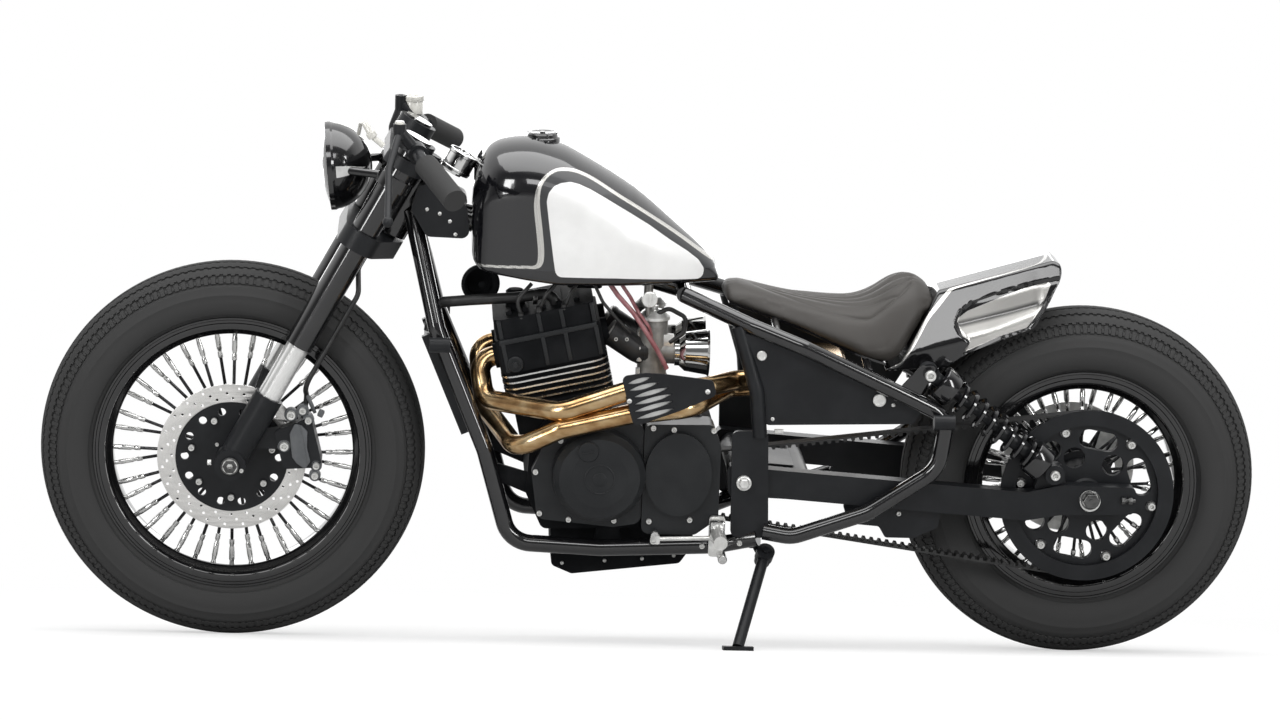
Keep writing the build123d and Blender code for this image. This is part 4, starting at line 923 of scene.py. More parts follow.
def settle(mesh: bpy.types.Mesh, name: str, body: str, finishes: tuple[Finish, ...], crease: float = 32.0,
           replaced: tuple[str, ...] = ()) -> bpy.types.Object:
    """Makes a parked mesh a dressed piece.

    Args:
        mesh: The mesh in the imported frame.
        name: Name of the piece.
        body: Body that carries it.
        finishes: Its finishes by material index.
        crease: Angle above which an edge stays sharp.
        replaced: Solids that the piece stands for.

    Returns:
        The piece.
    """
    mesh.materials.clear()
    for finish in finishes:
        mesh.materials.append(finish.material())
    mesh.polygons.foreach_set("use_smooth", [True] * len(mesh.polygons))
    mesh.set_sharp_from_angle(angle=radians(crease))
    made = linked(name, mesh)
    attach(made, body)
    if replaced:
        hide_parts(*replaced)
    mesh.calc_loop_triangles()
    LOG.info("%s on %s, %d triangles", name, body, len(mesh.loop_triangles))
    return made


# Repeats


class RepeatTree:
    """Geometry nodes that copy a small part onto every point of a mesh.

    Each point carries the way its copy faces, the way its copy's x points and its size.
    """

    INPUTS = (("Part", "NodeSocketObject"), ("Scale", "NodeSocketFloat"), ("Finish", "NodeSocketMaterial"))
    STORED = ("aim", "across", "size")

    def __init__(self) -> None:
        """Builds the tree."""
        self.group = bpy.data.node_groups.new("repeat_part", "GeometryNodeTree")
        face = self.group.interface
        face.new_socket("Geometry", in_out="INPUT", socket_type="NodeSocketGeometry")
        self.sockets = {name: face.new_socket(name, in_out="INPUT", socket_type=kind)
                        for name, kind in self.INPUTS}
        face.new_socket("Geometry", in_out="OUTPUT", socket_type="NodeSocketGeometry")
        source = self._node("NodeGroupInput")
        part = self._node("GeometryNodeObjectInfo", {"transform_space": "ORIGINAL"},
                          {"Object": source.outputs["Part"]})
        aim, across, size = (self._stored(name) for name in self.STORED)
        rough = self._node("FunctionNodeAlignRotationToVector", {"axis": "Z"}, {"Vector": aim})
        exact = self._node("FunctionNodeAlignRotationToVector", {"axis": "X", "pivot_axis": "Z"},
                           {"Rotation": rough.outputs[0], "Vector": across})
        scaled = self._node("ShaderNodeVectorMath", {"operation": "SCALE"},
                            {0: size, "Scale": source.outputs["Scale"]})
        copies = self._node("GeometryNodeInstanceOnPoints", {}, {
            "Points": source.outputs["Geometry"], "Instance": part.outputs["Geometry"],
            "Rotation": exact.outputs[0], "Scale": scaled.outputs[0]})
        real = self._node("GeometryNodeRealizeInstances", {}, {0: copies.outputs[0]})
        dressed = self._node("GeometryNodeSetMaterial", {}, {"Geometry": real.outputs[0],
                                                             "Material": source.outputs["Finish"]})
        self._node("NodeGroupOutput", {}, {0: dressed.outputs[0]})

    def _node(self, kind: str, settings: dict | None = None, inputs: dict | None = None) -> bpy.types.Node:
        """Adds a node with its settings and links."""
        made = self.group.nodes.new(kind)
        for key, value in (settings or {}).items():
            setattr(made, key, value)
        for key, value in (inputs or {}).items():
            if isinstance(value, Socket):
                self.group.links.new(value, made.inputs[key])
            else:
                made.inputs[key].default_value = value
        return made

    def _stored(self, name: str) -> Socket:
        """Direction or size stored on the points."""
        settings = {"data_type": "FLOAT_VECTOR"}
        return self._node("GeometryNodeInputNamedAttribute", settings, {"Name": name}).outputs[0]

    def copies(self, part: bpy.types.Mesh, spots: list["Spot"], finish: Finish) -> bpy.types.Mesh:
        """Copies a part onto spots and returns the parked result as one plain mesh.

        Args:
            part: The small part, in millimetres.
            spots: Where the copies go.
            finish: Finish of the copies.

        Returns:
            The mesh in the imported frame.
        """
        carrier = bpy.data.meshes.new("spots")
        carrier.from_pydata([PARKED @ Vector(s.at) for s in spots], [], [])
        turn = PARKED.to_3x3().normalized()
        rows_by_name = zip(self.STORED, ([turn @ Vector(s.aim) for s in spots],
                                         [turn @ Vector(s.across) for s in spots],
                                         [Vector(s.size) for s in spots]))
        for key, rows in rows_by_name:
            stored = carrier.attributes.new(key, "FLOAT_VECTOR", "POINT")
            stored.data.foreach_set("vector", [number for row in rows for number in row])
        holder, template = linked("spots", carrier), linked("part", part)
        modifier = holder.modifiers.new("repeat", "NODES")
        modifier.node_group = self.group
        modifier[self.sockets["Part"].identifier] = template
        modifier[self.sockets["Scale"].identifier] = MM
        modifier[self.sockets["Finish"].identifier] = finish.material()
        holder.update_tag()
        result = evaluated(holder)
        holder.modifiers.remove(modifier)
        for made in (holder, template):
            bpy.data.objects.remove(made)
        for stored in self.STORED:
            if stored in result.attributes:
                result.attributes.remove(result.attributes[stored])
        return result


@dataclass(frozen=True)
class Spot:
    """Where one copy of a small part goes.

    Attributes:
        at: Its place.
        aim: Where its z points.
        across: Where its x points.
        size: Its size along its own axes.
    """

    at: Point
    aim: Point
    across: Point = (1, 0, 0.001)
    size: Point = (1, 1, 1)


class Head(Enum):
    """Kinds of screw head, each of unit radius."""

    HEX = "hex"
    SOCKET = "socket"
    BUTTON = "button"

    def part(self) -> bpy.types.Mesh:
        """Mesh of one head of radius 1."""
        shape = Shape()
        seat = Matrix.Identity(4)
        if self is Head.HEX:
            shape.turned([(1.25, 0), (1.25, 0.12), (1.12, 0.2), (0.98, 0.2)], seat, 20)
            shape.turned([(1.0, 0.18), (1.0, 0.72), (0.86, 0.86), (0, 0.88)], seat, 6)
        elif self is Head.SOCKET:
            shape.turned([(1, -0.3), (1, 0.82), (0.9, 1), (0.56, 1), (0.5, 0.94)], seat, 18)
            shape.turned([(0.5, 0.94), (0.5, 0.35), (0, 0.35)], seat, 6)
        else:
            dome = [(1, -0.2), (1, 0.06), (0.86, 0.3), (0.62, 0.44), (0.42, 0.5), (0.38, 0.46)]
            shape.turned(dome, seat, 18)
            shape.turned([(0.38, 0.46), (0.36, 0.1), (0, 0.1)], seat, 6)
        return shape.mesh(self.value)


@dataclass(frozen=True)
class Screw:
    """One screw: its head's kind, radius, seat and direction."""

    at: Point
    radius: float
    aim: Point = (0, 1, 0)
    head: Head = Head.SOCKET


class ScrewSet:
    """All screws of one finish on one body, as one piece."""

    def __init__(self, repeats: RepeatTree) -> None:
        """Keeps the tree that copies the heads."""
        self.repeats = repeats

    def piece(self, name: str, body: str, screws: list[Screw], finish: Finish) -> bpy.types.Object:
        """Makes the piece.

        Args:
            name: Name of the piece.
            body: Body that carries it.
            screws: The screws.
            finish: Their finish.

        Returns:
            The piece.
        """
        made = []
        for head in Head:
            spots = [Spot(s.at, s.aim, size=(s.radius,) * 3) for s in screws if s.head is head]
            if spots:
                made.append(self.repeats.copies(head.part(), spots, finish))
        return settle(joined(name, made), name, body, (finish,))


# Wheels


def mesh_of(shape: Shape, name: str) -> bpy.types.Mesh:
    """Small part's mesh, left in millimetres."""
    shape.turn_out()
    return shape.mesh(name)


@dataclass
class Wheel:
    """A wire wheel with its tyre.

    Attributes:
        name: Front or rear.
        x: Axle's place along the machine.
        radius: Radius over the tread.
        crown: Radius of the tyre's round section.
        bead: Radius of the rim's bead seat.
        flange: Radius of the rim's edge.
        rim_half: Half width of the rim.
        hub_flange: Radius of the hub's flanges.
        hub_half: Distance of the hub's flanges from the middle.
        pitches: Repeats of the tread round the tyre.
        spokes: Number of spokes.
        groove: Depth of the tread.
        nipple: Length of the thick end of a spoke at the rim.
    """

    LUGS = ((0.04, 0.62, 47.5, 60.5), (0.66, 0.98, 52.0, 58.5))
    RIBS = (((28, 30.5), (42.5, 45.5)), ((9.5, 11), (23.5, 25.8)))

    name: str
    x: float
    radius: float
    crown: float
    bead: float
    flange: float
    rim_half: float
    hub_flange: float
    hub_half: float
    pitches: int
    spokes: int = 40
    groove: float = 3.4
    nipple: float = 48.0

    @property
    def body(self) -> str:
        """Body that turns with the wheel."""
        return f"{self.name}_wheel"

    @property
    def axle(self) -> Point:
        """Middle of the axle."""
        return (self.x, 0.0, self.radius - self.crown + self.crown / cos(radians(STANCE.lean)))

    def side(self, lat: float = 0.0) -> Matrix:
        """Frame about the axle whose z points to the left."""
        return leftward(self.x, self.axle[2], lat)

    def spots(self, count: int, first: float = 0.0) -> list[Spot]:
        """Copies turned about the axle."""
        angles = [first + 2 * pi * k / count for k in range(count)]
        return [Spot(self.axle, LEFT, (cos(a), 0, sin(a))) for a in angles]

    def section(self, angle: float, depth: float) -> Flat:
        """Radius and side place of a point on the tyre's section, by degrees from its crown."""
        reach = self.crown - depth
        return (self.radius - self.crown + reach * cos(radians(angle)), reach * sin(radians(angle)))

    def carcass(self) -> Shape:
        """Tyre without its tread blocks."""
        half = [self.section(a, self.groove) for a in (0, 8, 16, 24, 32, 40, 48, 56, 61)]
        half += [self.section(a, 1.6) for a in (62.5, 65)]
        flank = ((66, 0.7), (72, 0.6), (79, 0.6), (80, 0.0), (81, 0.0), (82, 0.6), (90, 0.6), (98, 0.8),
                 (106, 1.4), (112, 2.4), (117, 3.4))
        half += [self.section(angle, depth) for angle, depth in flank]
        half += [(self.flange + 9, self.rim_half + 2.5), (self.flange + 5, self.rim_half + 1.6),
                 (self.flange + 1.5, self.rim_half - 3), (self.flange - 6, self.rim_half - 5.4)]
        inner = [self.section(a, 11) for a in (105, 75, 45, 0)]
        loop = [(r, -z) for r, z in reversed(half[1:])] + half + inner
        loop += [(r, -z) for r, z in reversed(inner[:-1])]
        shape = Shape(RUBBER)
        shape.turned(loop, self.side(), 160, closed=True)
        return shape

    def pitch(self) -> bpy.types.Mesh:
        """Tread blocks of one pitch: two shoulder lugs and five ribs with stepped edges."""
        shape = Shape(RUBBER)
        step = 2 * pi / self.pitches

        def spot(share: float, angle: float, depth: float) -> Vector:
            """Point of the section a share of a pitch round the tyre."""
            radius, lat = self.section(angle, depth)
            return Vector((radius * cos(share * step), radius * sin(share * step), lat))

        def block(shares: list[float], low: list[float], high: list[float], ends: bool) -> None:
            """Raised block between two lines of angles, with closed ends or running on."""
            rows = []
            for share, first, last in zip(shares, low, high):
                angles = [first, first * 0.67 + last * 0.33, first * 0.33 + last * 0.67, last]
                row = [spot(share, first, self.groove)]
                row += [spot(share, a, 0.25 if a in (first, last) else 0) for a in angles]
                row.append(spot(share, last, self.groove))
                rows.append(shape.ring(row))
            for one, two in zip(rows, rows[1:]):
                for k in range(len(one) - 1):
                    shape.face([one[k], one[k + 1], two[k + 1], two[k]])
            if ends:
                shape.face(rows[0])
                shape.face(rows[-1][::-1])

        for turn, offset in ((1, 0.0), (-1, 0.5)):
            for start, end, low, high in self.LUGS:
                block([start + offset, end + offset], [turn * low] * 2, [turn * high] * 2, True)
            for inner, outer in self.RIBS:
                low, high = ([turn * edge[0]] * 2 + [turn * edge[1]] * 2 for edge in (inner, outer))
                block([0, 0.5, 0.5, 1], low, high, False)
        block([0, 0.5, 1], [-6.5] * 3, [6.5] * 3, False)
        return mesh_of(shape, "tread_pitch")

    def tyre(self, repeats: RepeatTree) -> None:
        """Makes the tyre with its tread."""
        shape = self.carcass()
        shape.park()
        tread = repeats.copies(self.pitch(), self.spots(self.pitches), RUBBER)
        flank = len(shape.bm.verts)
        shape.bm.from_mesh(tread)
        limit, _ = self.section(60, 0)
        turn = PARKED.inverted()
        drawn = [turn @ vert.co for vert in shape.bm.verts]
        out = [hypot(spot.x - self.x, spot.z - self.axle[2]) for spot in drawn]
        shape.mark("tread", [1.0 if k >= flank or far > limit else 0.0 for k, far in enumerate(out)])
        name = f"{self.name}_tyre_and_tread"
        settle(shape.mesh(name), name, self.body, (RUBBER,), 40, (f"{self.name}_tyre",))

    def rim(self) -> None:
        """Makes the drop-centre rim with its stepped lips."""
        edge, bead, lip = self.rim_half, self.bead, self.flange
        half = [(lip, edge - 3.8), (lip, edge - 0.8), (lip - 0.8, edge), (lip - 4, edge),
                (lip - 5.2, edge - 1.4), (bead + 6, edge - 1.4), (bead + 4.6, edge - 0.2), (bead - 2, edge),
                (bead - 5.4, edge - 1), (bead - 6.4, edge - 4), (bead - 6.4, edge - 13),
                (bead - 9, edge - 16), (bead - 15, edge - 20), (bead - 18.4, edge - 24),
                (bead - 19, edge - 28)]
        tyre_side = [(bead - 13, edge - 24), (bead - 1, edge - 17), (bead, edge - 5.2), (lip - 8, edge - 5)]
        loop = half + [(r, -z) for r, z in reversed(half)]
        loop += [(r, -z) for r, z in reversed(tyre_side)] + tyre_side
        shape = Shape(RIM_BLACK)
        shape.turned(loop, self.side(), 144, closed=True)
        shape.piece(f"{self.name}_rim_and_lips", self.body, 28, (f"{self.name}_rim",))

    def spoke_parts(self, turn: int) -> tuple[bpy.types.Mesh, bpy.types.Mesh]:
        """Shaft and nipple of a spoke to the left (1) or right (-1) hub flange."""
        near = Vector((self.hub_flange - 3, 0, turn * (self.hub_half - 1)))
        far = Vector((self.bead - 18.5, 0, turn * self.rim_half / 5))
        at = facing(tuple(near), tuple(far - near), LEFT)
        length = (far - near).length
        start = length - self.nipple
        shaft = Shape(SPOKE_DARK)
        shaft.turned([(0, -3), (4.2, -2.5), (4.6, 0), (4.2, 2.5), (2.9, 5), (2.9, start + 3)], at, 10)
        nipple = Shape(SPOKE_STEEL)
        steps = ((2.9, -0.6), (4.3, 0), (4.5, 1.2), (4.5, 9), (3.7, 11), (3.7, 14), (4.8, 17), (5.0, 38),
                 (4.4, 41))
        profile = [(radius, start + along) for radius, along in steps]
        nipple.turned(profile + [(4.4, length), (0, length)], at, 10)
        return mesh_of(shaft, "spoke_shaft"), mesh_of(nipple, "spoke_nipple")

    def wires(self, repeats: RepeatTree) -> None:
        """Makes the spokes and their nipples."""
        for label, finish, kind in (("shafts", SPOKE_DARK, 0), ("nipples", SPOKE_STEEL, 1)):
            sides = []
            for turn, first in ((1, 0.0), (-1, 2 * pi / self.spokes)):
                spots = self.spots(self.spokes // 2, first)
                sides.append(repeats.copies(self.spoke_parts(turn)[kind], spots, finish))
            name = f"{self.name}_spoke_{label}"
            replaced = (f"{self.name}_spokes",) if kind else ()
            settle(joined(name, sides), name, self.body, (finish,), 40, replaced)

    def build(self, repeats: RepeatTree) -> None:
        """Builds the wheel."""
        self.tyre(repeats)
        self.rim()
        self.wires(repeats)


@dataclass
class FrontBrake:
    """Drilled friction ring and the screws of its carrier.

    Attributes:
        wheel: Wheel that carries it.
        lat: Inner face of the ring.
        thick: Its thickness.
        outer, inner: Its radii.
        spirals: Rows of three holes round the ring.
        screw_circle, hub_circle: Radii on which the carrier's and the hub's screws lie.
    """

    wheel: Wheel
    lat: float = 58.0
    thick: float = 5.0
    outer: float = 130.0
    inner: float = 98.0
    spirals: int = 24
    screw_circle: float = 72.0
    hub_circle: float = 34.0

    def build(self, screws: ScrewSet) -> None:
        """Builds the ring and the screws."""
        at = self.wheel.side(self.lat)
        holes = []
        for k in range(self.spirals):
            turn = 2 * pi * k / self.spirals
            for radius, share in ((104.5, 0.0), (113.5, 0.33), (122.5, 0.66)):
                angle = turn + share * 2 * pi / self.spirals
                holes.append(circle(2.6, 8, (radius * cos(angle), radius * sin(angle))))
        hub = STANCE.at((self.wheel.x, self.lat, self.wheel.axle[2]))
        ring = TurnedMetal("swept_disc", "brushed_disc", (0.90, 0.89, 0.87), (0.72, 0.71, 0.69), rough=0.30,
                           rough_drift=0.09, metallic=0.8, grain_depth=0.02, hub=tuple(hub))
        shape = Shape(ring)
        shape.panel([circle(self.outer, 96), circle(self.inner, 96)] + holes, at, self.thick, 0.4)
        shape.piece("front_drilled_ring", "front_wheel", 30, ("front_brake_disc",))
        face = self.lat + self.thick + 6
        centre = (self.wheel.x, self.wheel.axle[2])
        heads = [Screw((x, face - 1, up), 5.6) for x, up in circle(self.screw_circle, 7, centre, radians(13))]
        for angle in (0.7, 2.8, 4.9):
            x, up = centre[0] + self.hub_circle * cos(angle), centre[1] + self.hub_circle * sin(angle)
            heads.append(Screw((x, face - 5, up), 3.4))
        screws.piece("front_carrier_screws", "front_wheel", heads, ZINC)


# Body


def value_at(line: list[Flat], x: float) -> float:
    """Height of a line that runs along x, at x."""
    rows = sorted((p[0], p[1]) for p in line)
    if x <= rows[0][0]:
        return rows[0][1]
    for (x0, y0), (x1, y1) in zip(rows, rows[1:]):
        if x <= x1:
            return y0 + (y1 - y0) * (x - x0) / max(x1 - x0, 1e-9)
    return rows[-1][1]


def resampled(points: list[Flat], count: int) -> list[Flat]:
    """Points spread evenly along a line."""
    runs = [0.0]
    for one, two in zip(points, points[1:]):
        runs.append(runs[-1] + hypot(two[0] - one[0], two[1] - one[1]))
    marks, spread, k = [runs[-1] * n / (count - 1) for n in range(count)], [], 0
    for mark in marks:
        while k < len(runs) - 2 and runs[k + 1] < mark:
            k += 1
        share = min(max((mark - runs[k]) / max(runs[k + 1] - runs[k], 1e-9), 0), 1)
        spread.append((points[k][0] + (points[k + 1][0] - points[k][0]) * share,
                       points[k][1] + (points[k + 1][1] - points[k][1]) * share))
    return spread


def gap_to(line: list, spots: np.ndarray, closed: bool = False,
           wide: list[float] | None = None) -> np.ndarray:
    """Distance of points from a line, both flat or both solid.

    Args:
        line: Points of the line.
        spots: The points, one a row.
        closed: Whether the line closes on itself.
        wide: Half width of the line at its points, taken from the distance.

    Returns:
        A distance for each point.
    """
    ends = np.array([tuple(p)[:spots.shape[1]] for p in line])
    half = np.zeros(len(ends)) if wide is None else np.array(wide)
    best = np.full(len(spots), 1e9)
    for k in range(len(ends) if closed else len(ends) - 1):
        n = (k + 1) % len(ends)
        run, away = ends[n] - ends[k], spots - ends[k]
        share = np.clip(away @ run / max(run @ run, 1e-9), 0, 1)
        gap = np.linalg.norm(away - share[:, None] * run, axis=1)
        best = np.minimum(best, gap - half[k] - (half[n] - half[k]) * share)
    return best


def depth_in(outline: list, spots: np.ndarray) -> np.ndarray:
    """Distance of flat points from a closed outline, negative inside it."""
    ends = np.array([tuple(p)[:2] for p in outline])
    inside = np.zeros(len(spots), dtype=bool)
    for (x0, y0), (x1, y1) in zip(ends, np.roll(ends, -1, axis=0)):
        if y0 != y1:
            crossed = (y0 > spots[:, 1]) != (y1 > spots[:, 1])
            inside ^= crossed & (spots[:, 0] < (x1 - x0) * (spots[:, 1] - y0) / (y1 - y0) + x0)
    return np.where(inside, -1.0, 1.0) * gap_to(outline, spots, True)


class Hull:
    """Closed body drawn from sections across the machine, equal on both sides.

    Attributes:
        front, rear: Where it ends along the machine.
        front_round, rear_round: How far its ends are rounded.
        step: Distance between two sections.
        count: Points of a half section.
        bulge: How far its end faces stand out.
    """

    front = 0.0
    rear = 0.0
    front_round = 10.0
    rear_round = 10.0
    step = 2.8
    count = 70
    bulge = 2.0

    def half(self, x: float, inset: float) -> list[Flat]:
        """Half section at x, from its middle below to its middle on top, drawn in by an inset."""
        raise NotImplementedError

    def stations(self) -> list[Flat]:
        """Places of the sections with their insets."""
        rows = []
        for k in range(7):
            turn = pi / 2 * (1 - k / 6)
            rows.append((self.rear + self.rear_round * (1 - sin(turn)), self.rear_round * (1 - cos(turn))))
        low, high = self.rear + self.rear_round, self.front - self.front_round
        pieces = int((high - low) / self.step)
        rows += [(low + (high - low) * k / pieces, 0.0) for k in range(1, pieces)]
        for k in range(7):
            turn = pi / 2 * k / 6
            rows.append((self.front - self.front_round * (1 - sin(turn)), self.front_round * (1 - cos(turn))))
        return rows

    def ring_at(self, x: float, inset: float) -> list[Vector]:
        """Points of the whole section at x."""
        left = resampled(self.half(x, inset), self.count)
        return [Vector((x, y, z)) for y, z in left] + [Vector((x, -y, z)) for y, z in left[-2:0:-1]]

    def rings(self) -> list[list[Vector]]:
        """Sections from the rear to the front, closed at both ends."""
        made = [self.ring_at(x, inset) for x, inset in self.stations()]

        def end(ring: list[Vector], way: float) -> list[list[Vector]]:
            """Rings that shrink a section towards its slightly raised middle."""
            middle = sum(ring, Vector()) / len(ring)
            return [[middle + (spot - middle) * share + Vector((way * self.bulge * (1 - share ** 2), 0, 0))
                     for spot in ring] for share in (0.85, 0.65, 0.4, 0.15)]
        return end(made[0], -1)[::-1] + made + end(made[-1], 1)

    def shape(self, *finishes: Finish) -> Shape:
        """Skin of the body."""
        shape = Shape(*finishes)
        shape.skin([shape.ring(ring) for ring in self.rings()], capped=True)
        return shape


class Tank(Hull):
    """Fuel tank with its painted panel, border and stripe."""

    CROWN = smooth_line([(-90, 692), (-73, 721), (-19, 771), (58, 832), (154, 888), (200, 906), (249, 913),
                         (300, 905), (331, 884), (341, 874)], 5)
    BOTTOM = rounded([(-92, 674), (190, 674), (342, 691)], 60, 6, False)
    HALF = smooth_line([(-96, 58), (-60, 78), (0, 104), (60, 124), (90, 131), (150, 137), (200, 138),
                        (250, 133), (300, 118), (345, 94)], 5)
    front, rear = 341.0, -90.0
    front_round, rear_round = 26.0, 7.0
    count = 112
    shoulder = 95.0

    # Side view (x, up), and for the stripe its half width as well
    PANEL = [(216, 821), (213, 836), (204, 847), (193, 852), (176, 854), (161, 850), (141, 841), (116, 827),
             (77, 804), (38, 780), (0, 753), (-33, 731), (-52, 716), (-63, 700), (-61, 687), (-53, 682),
             (-20, 683), (92, 689), (196, 690), (201, 719), (209, 771)]
    STRIPE = [(345, 700, 2.0), (315, 701, 2.2), (249, 705, 2.6), (232, 706, 3.2), (224, 714, 5.0),
              (223, 735, 5.3), (227, 771, 5.4), (232, 808, 5.2), (232, 831, 4.2), (228, 848, 3.4),
              (219, 861, 2.8), (206, 870, 2.4), (192, 873, 2.3), (172, 871, 2.3), (150, 863, 2.3),
              (126, 850, 2.3), (96, 831, 2.3), (57, 807, 2.3), (18, 782, 2.3), (-21, 755, 2.3),
              (-61, 725, 2.3), (-95, 700, 2.3)]

    def half(self, x: float, inset: float) -> list[Flat]:
        """Half section: flat below, upright sides and a rounded top."""
        low, top = value_at(self.BOTTOM, x) + inset, value_at(self.CROWN, x) - inset
        wide = value_at(self.HALF, x) - inset
        tall = top - low
        crown = min(0.58 * tall, self.shoulder)
        corner = min(10.0, 0.3 * tall)
        line = [(0.0, low), (wide - corner, low)]
        line += [(wide - corner + corner * sin(a), low + corner - corner * cos(a))
                 for a in (pi / 12 * k for k in range(1, 7))]
        power = 2 / 2.25
        line += [(wide * cos(a) ** power, top - crown + crown * sin(a) ** power)
                 for a in (pi / 2 * k / 40 for k in range(1, 40))] + [(0.0, top)]
        return line

    def build(self) -> None:
        """Builds the tank and its cap."""
        panel = rounded(self.PANEL, 12, 4)
        line = smooth_line(self.STRIPE, 3)
        marks = {"panel": lambda v: depth_in(panel, v[:, ::2]), "border": lambda v: depth_in(line, v[:, ::2]),
                 "stripe": lambda v: gap_to(line, v[:, ::2], wide=[p[2] for p in line])}
        self.shape(TANK_PAINT).piece("painted_tank", "frame", 50, ("fuel_tank",), marks=marks)
        cap = Shape(GLOSS_BLACK, ZINC)
        at = facing((222, 0, 908), (0.03, 0, 1))
        profile = [(31, -6), (31, 1.5), (29, 3), (27, 3.2), (26.6, 8), (25, 10), (21, 11.4), (19, 10.8),
                   (0, 10.6)]
        cap.turned(profile, at, 48)
        for k in range(6):
            turn = pi / 3 * k + 0.3
            place = moved_by(23.4 * cos(turn), 23.4 * sin(turn), 9.2) @ turned_by(turn)
            cap.block((7, 3, 1.6), at @ place, 0.5)
        cap.slot = 1
        cap.turned([(5, 10), (5, 11.6), (4.2, 12), (0, 12)], at, 20)
        cap.piece("filler_cap", "frame", 30)


class Tail(Hull):
    """Tail cover with its stripe and its silver scoops, with painted shade along the scoops' fold.

    Attributes:
        CROWN, BOTTOM, CEILING: Lines of its top, lower edge and hollow in the side view.
        PLAN: Greatest half width along it.
        DECK: Place, height and slope of its flat top.
        DECK_HALF, FLARE: Half width of the top and how fast the sides open below it.
        FLARE_REACH: How far below the top the sides open.
        SINK: Depth of the scoops, and as much again along their fold.
    """

    CROWN = rounded([(-692, 713), (-688, 722), (-676, 727), (-476, 668.5), (-470, 658), (-412, 548),
                     (-380, 532)], [5, 12, 8, 5, 10], 5, False)
    BOTTOM = rounded([(-692, 712), (-686, 690), (-645, 612), (-528, 566), (-491, 539), (-380, 531.5)],
                     [20, 20, 20, 12], 5, False)
    CEILING = [(-692, 640), (-655, 655), (-640, 650), (-500, 622), (-446, 596), (-436, 541), (-376, 532)]
    PLAN = [(-692, 82), (-676, 92), (-560, 106), (-376, 106)]
    DECK = (-464.0, 665.0, 0.2925)
    DECK_HALF = 62.0
    FLARE = 0.489
    FLARE_REACH = 90.0
    SINK = 5.0
    front, rear = -385.0, -690.0
    front_round, rear_round = 3.0, 5.0
    step = 2.4
    count = 128
    bulge = 0.5

    # Side view (x, up); the stripe is (x, side, up, half width)
    SCOOP = [(-508, 622), (-527, 637), (-570, 656), (-621, 677), (-674, 693), (-667, 676), (-655, 645),
             (-631, 612), (-583, 597), (-512, 563), (-533, 586), (-517, 596)]
    RECESS = [(-502, 616), (-511, 638), (-532, 654), (-570, 669), (-621, 685), (-700, 706), (-680, 672),
              (-658, 640), (-634, 606), (-584, 592), (-508, 556), (-528, 584), (-511, 599)]
    FOLD = [(-500, 610), (-551, 624), (-602, 638), (-700, 667)]
    STRIPE = [(-386, 104, 533, 1.5), (-402, 104, 541, 2.0), (-416, 103, 553, 3.5), (-426, 101, 568, 4.2),
              (-440, 94, 594, 4.2), (-456, 84, 622, 4.2), (-471, 76, 640, 4.0), (-488, 67, 660, 3.6),
              (-498, 63, 671, 3.0), (-510, 61.5, 676, 2.3), (-552, 60, 689, 2.3), (-598, 59, 703, 2.3),
              (-638, 56, 715, 2.5), (-654, 47, 720, 3.0), (-666, 25, 724, 3.4), (-671, 0, 725.5, 3.6)]

    def deck(self, x: float) -> float:
        """Height of the flat top's plane at x."""
        return self.DECK[1] + (self.DECK[0] - x) * self.DECK[2]

    def wide(self, x: float, up: float) -> float:
        """Half width at x and a height."""
        flared = self.DECK_HALF + self.FLARE * min(self.deck(x) - up, self.FLARE_REACH)
        return min(max(self.DECK_HALF, flared), value_at(self.PLAN, x))

    def half(self, x: float, inset: float) -> list[Flat]:
        """Half section: hollow below, flared sides and a flat deck."""
        low, top = value_at(self.BOTTOM, x) + inset * 0.5, value_at(self.CROWN, x) - inset
        top = max(top, low + 0.5)
        hollow = min(max(value_at(self.CEILING, x), low), top - 0.2)
        tall = top - low
        knee = min(max(self.deck(x) - self.FLARE_REACH, low + 0.2 * tall), top - 0.3 * tall)
        inner = min(77.0, self.wide(x, low) - inset - 4)
        line = [(0.0, hollow), (inner, hollow), (inner, low)]
        corners = [(self.wide(x, low) - inset, low), (self.wide(x, knee) - inset, knee),
                   (self.wide(x, top) - inset, top - 1.2), (0.0, top)]
        radii = [min(3, tall / 5), min(40, tall / 3), min(9, tall / 3)]
        eased = rounded([(inner, low)] + corners, radii, 5, False)
        return line + [(p[0], p[1]) for p in eased[1:]]

    def build(self) -> None:
        """Builds the tail cover."""
        recess, scoop = rounded(self.RECESS, 8, 4), rounded(self.SCOOP, 5, 4)
        line = smooth_line([row[:3] for row in self.STRIPE], 3)
        places, given = np.linspace(0, 1, len(line)), np.linspace(0, 1, len(self.STRIPE))
        wide = np.interp(places, given, [row[3] for row in self.STRIPE])
        shape = self.shape(TAIL_PAINT)
        drawn = np.array([vert.co for vert in shape.bm.verts])
        side = drawn[:, ::2]
        outer = np.array([abs(y) > self.wide(x, z) - 8 for x, y, z in drawn])
        stripe = gap_to(line, np.abs(drawn) * [-1, 1, 1], wide=wide)
        fold = gap_to(self.FOLD, side)
        sink = np.where(outer, np.clip(-depth_in(recess, side) / 6, 0, 1), 0)
        sink = (3 - 2 * sink) * sink * sink
        bright = np.where(outer, -depth_in(scoop, side), -50)
        for vert, dent in zip(shape.bm.verts, sink * (self.SINK + self.SINK * np.clip(1 - fold / 26, 0, 1))):
            vert.co.y -= (1 if vert.co.y > 0 else -1) * dent
        # the fold distance also places the tail paint's painted shade in the scoops
        for name, values in (("stripe", stripe), ("scoop", bright), ("fold", fold)):
            shape.mark(name, values)
        shape.piece("painted_tail", "frame", 38, ("tail",))


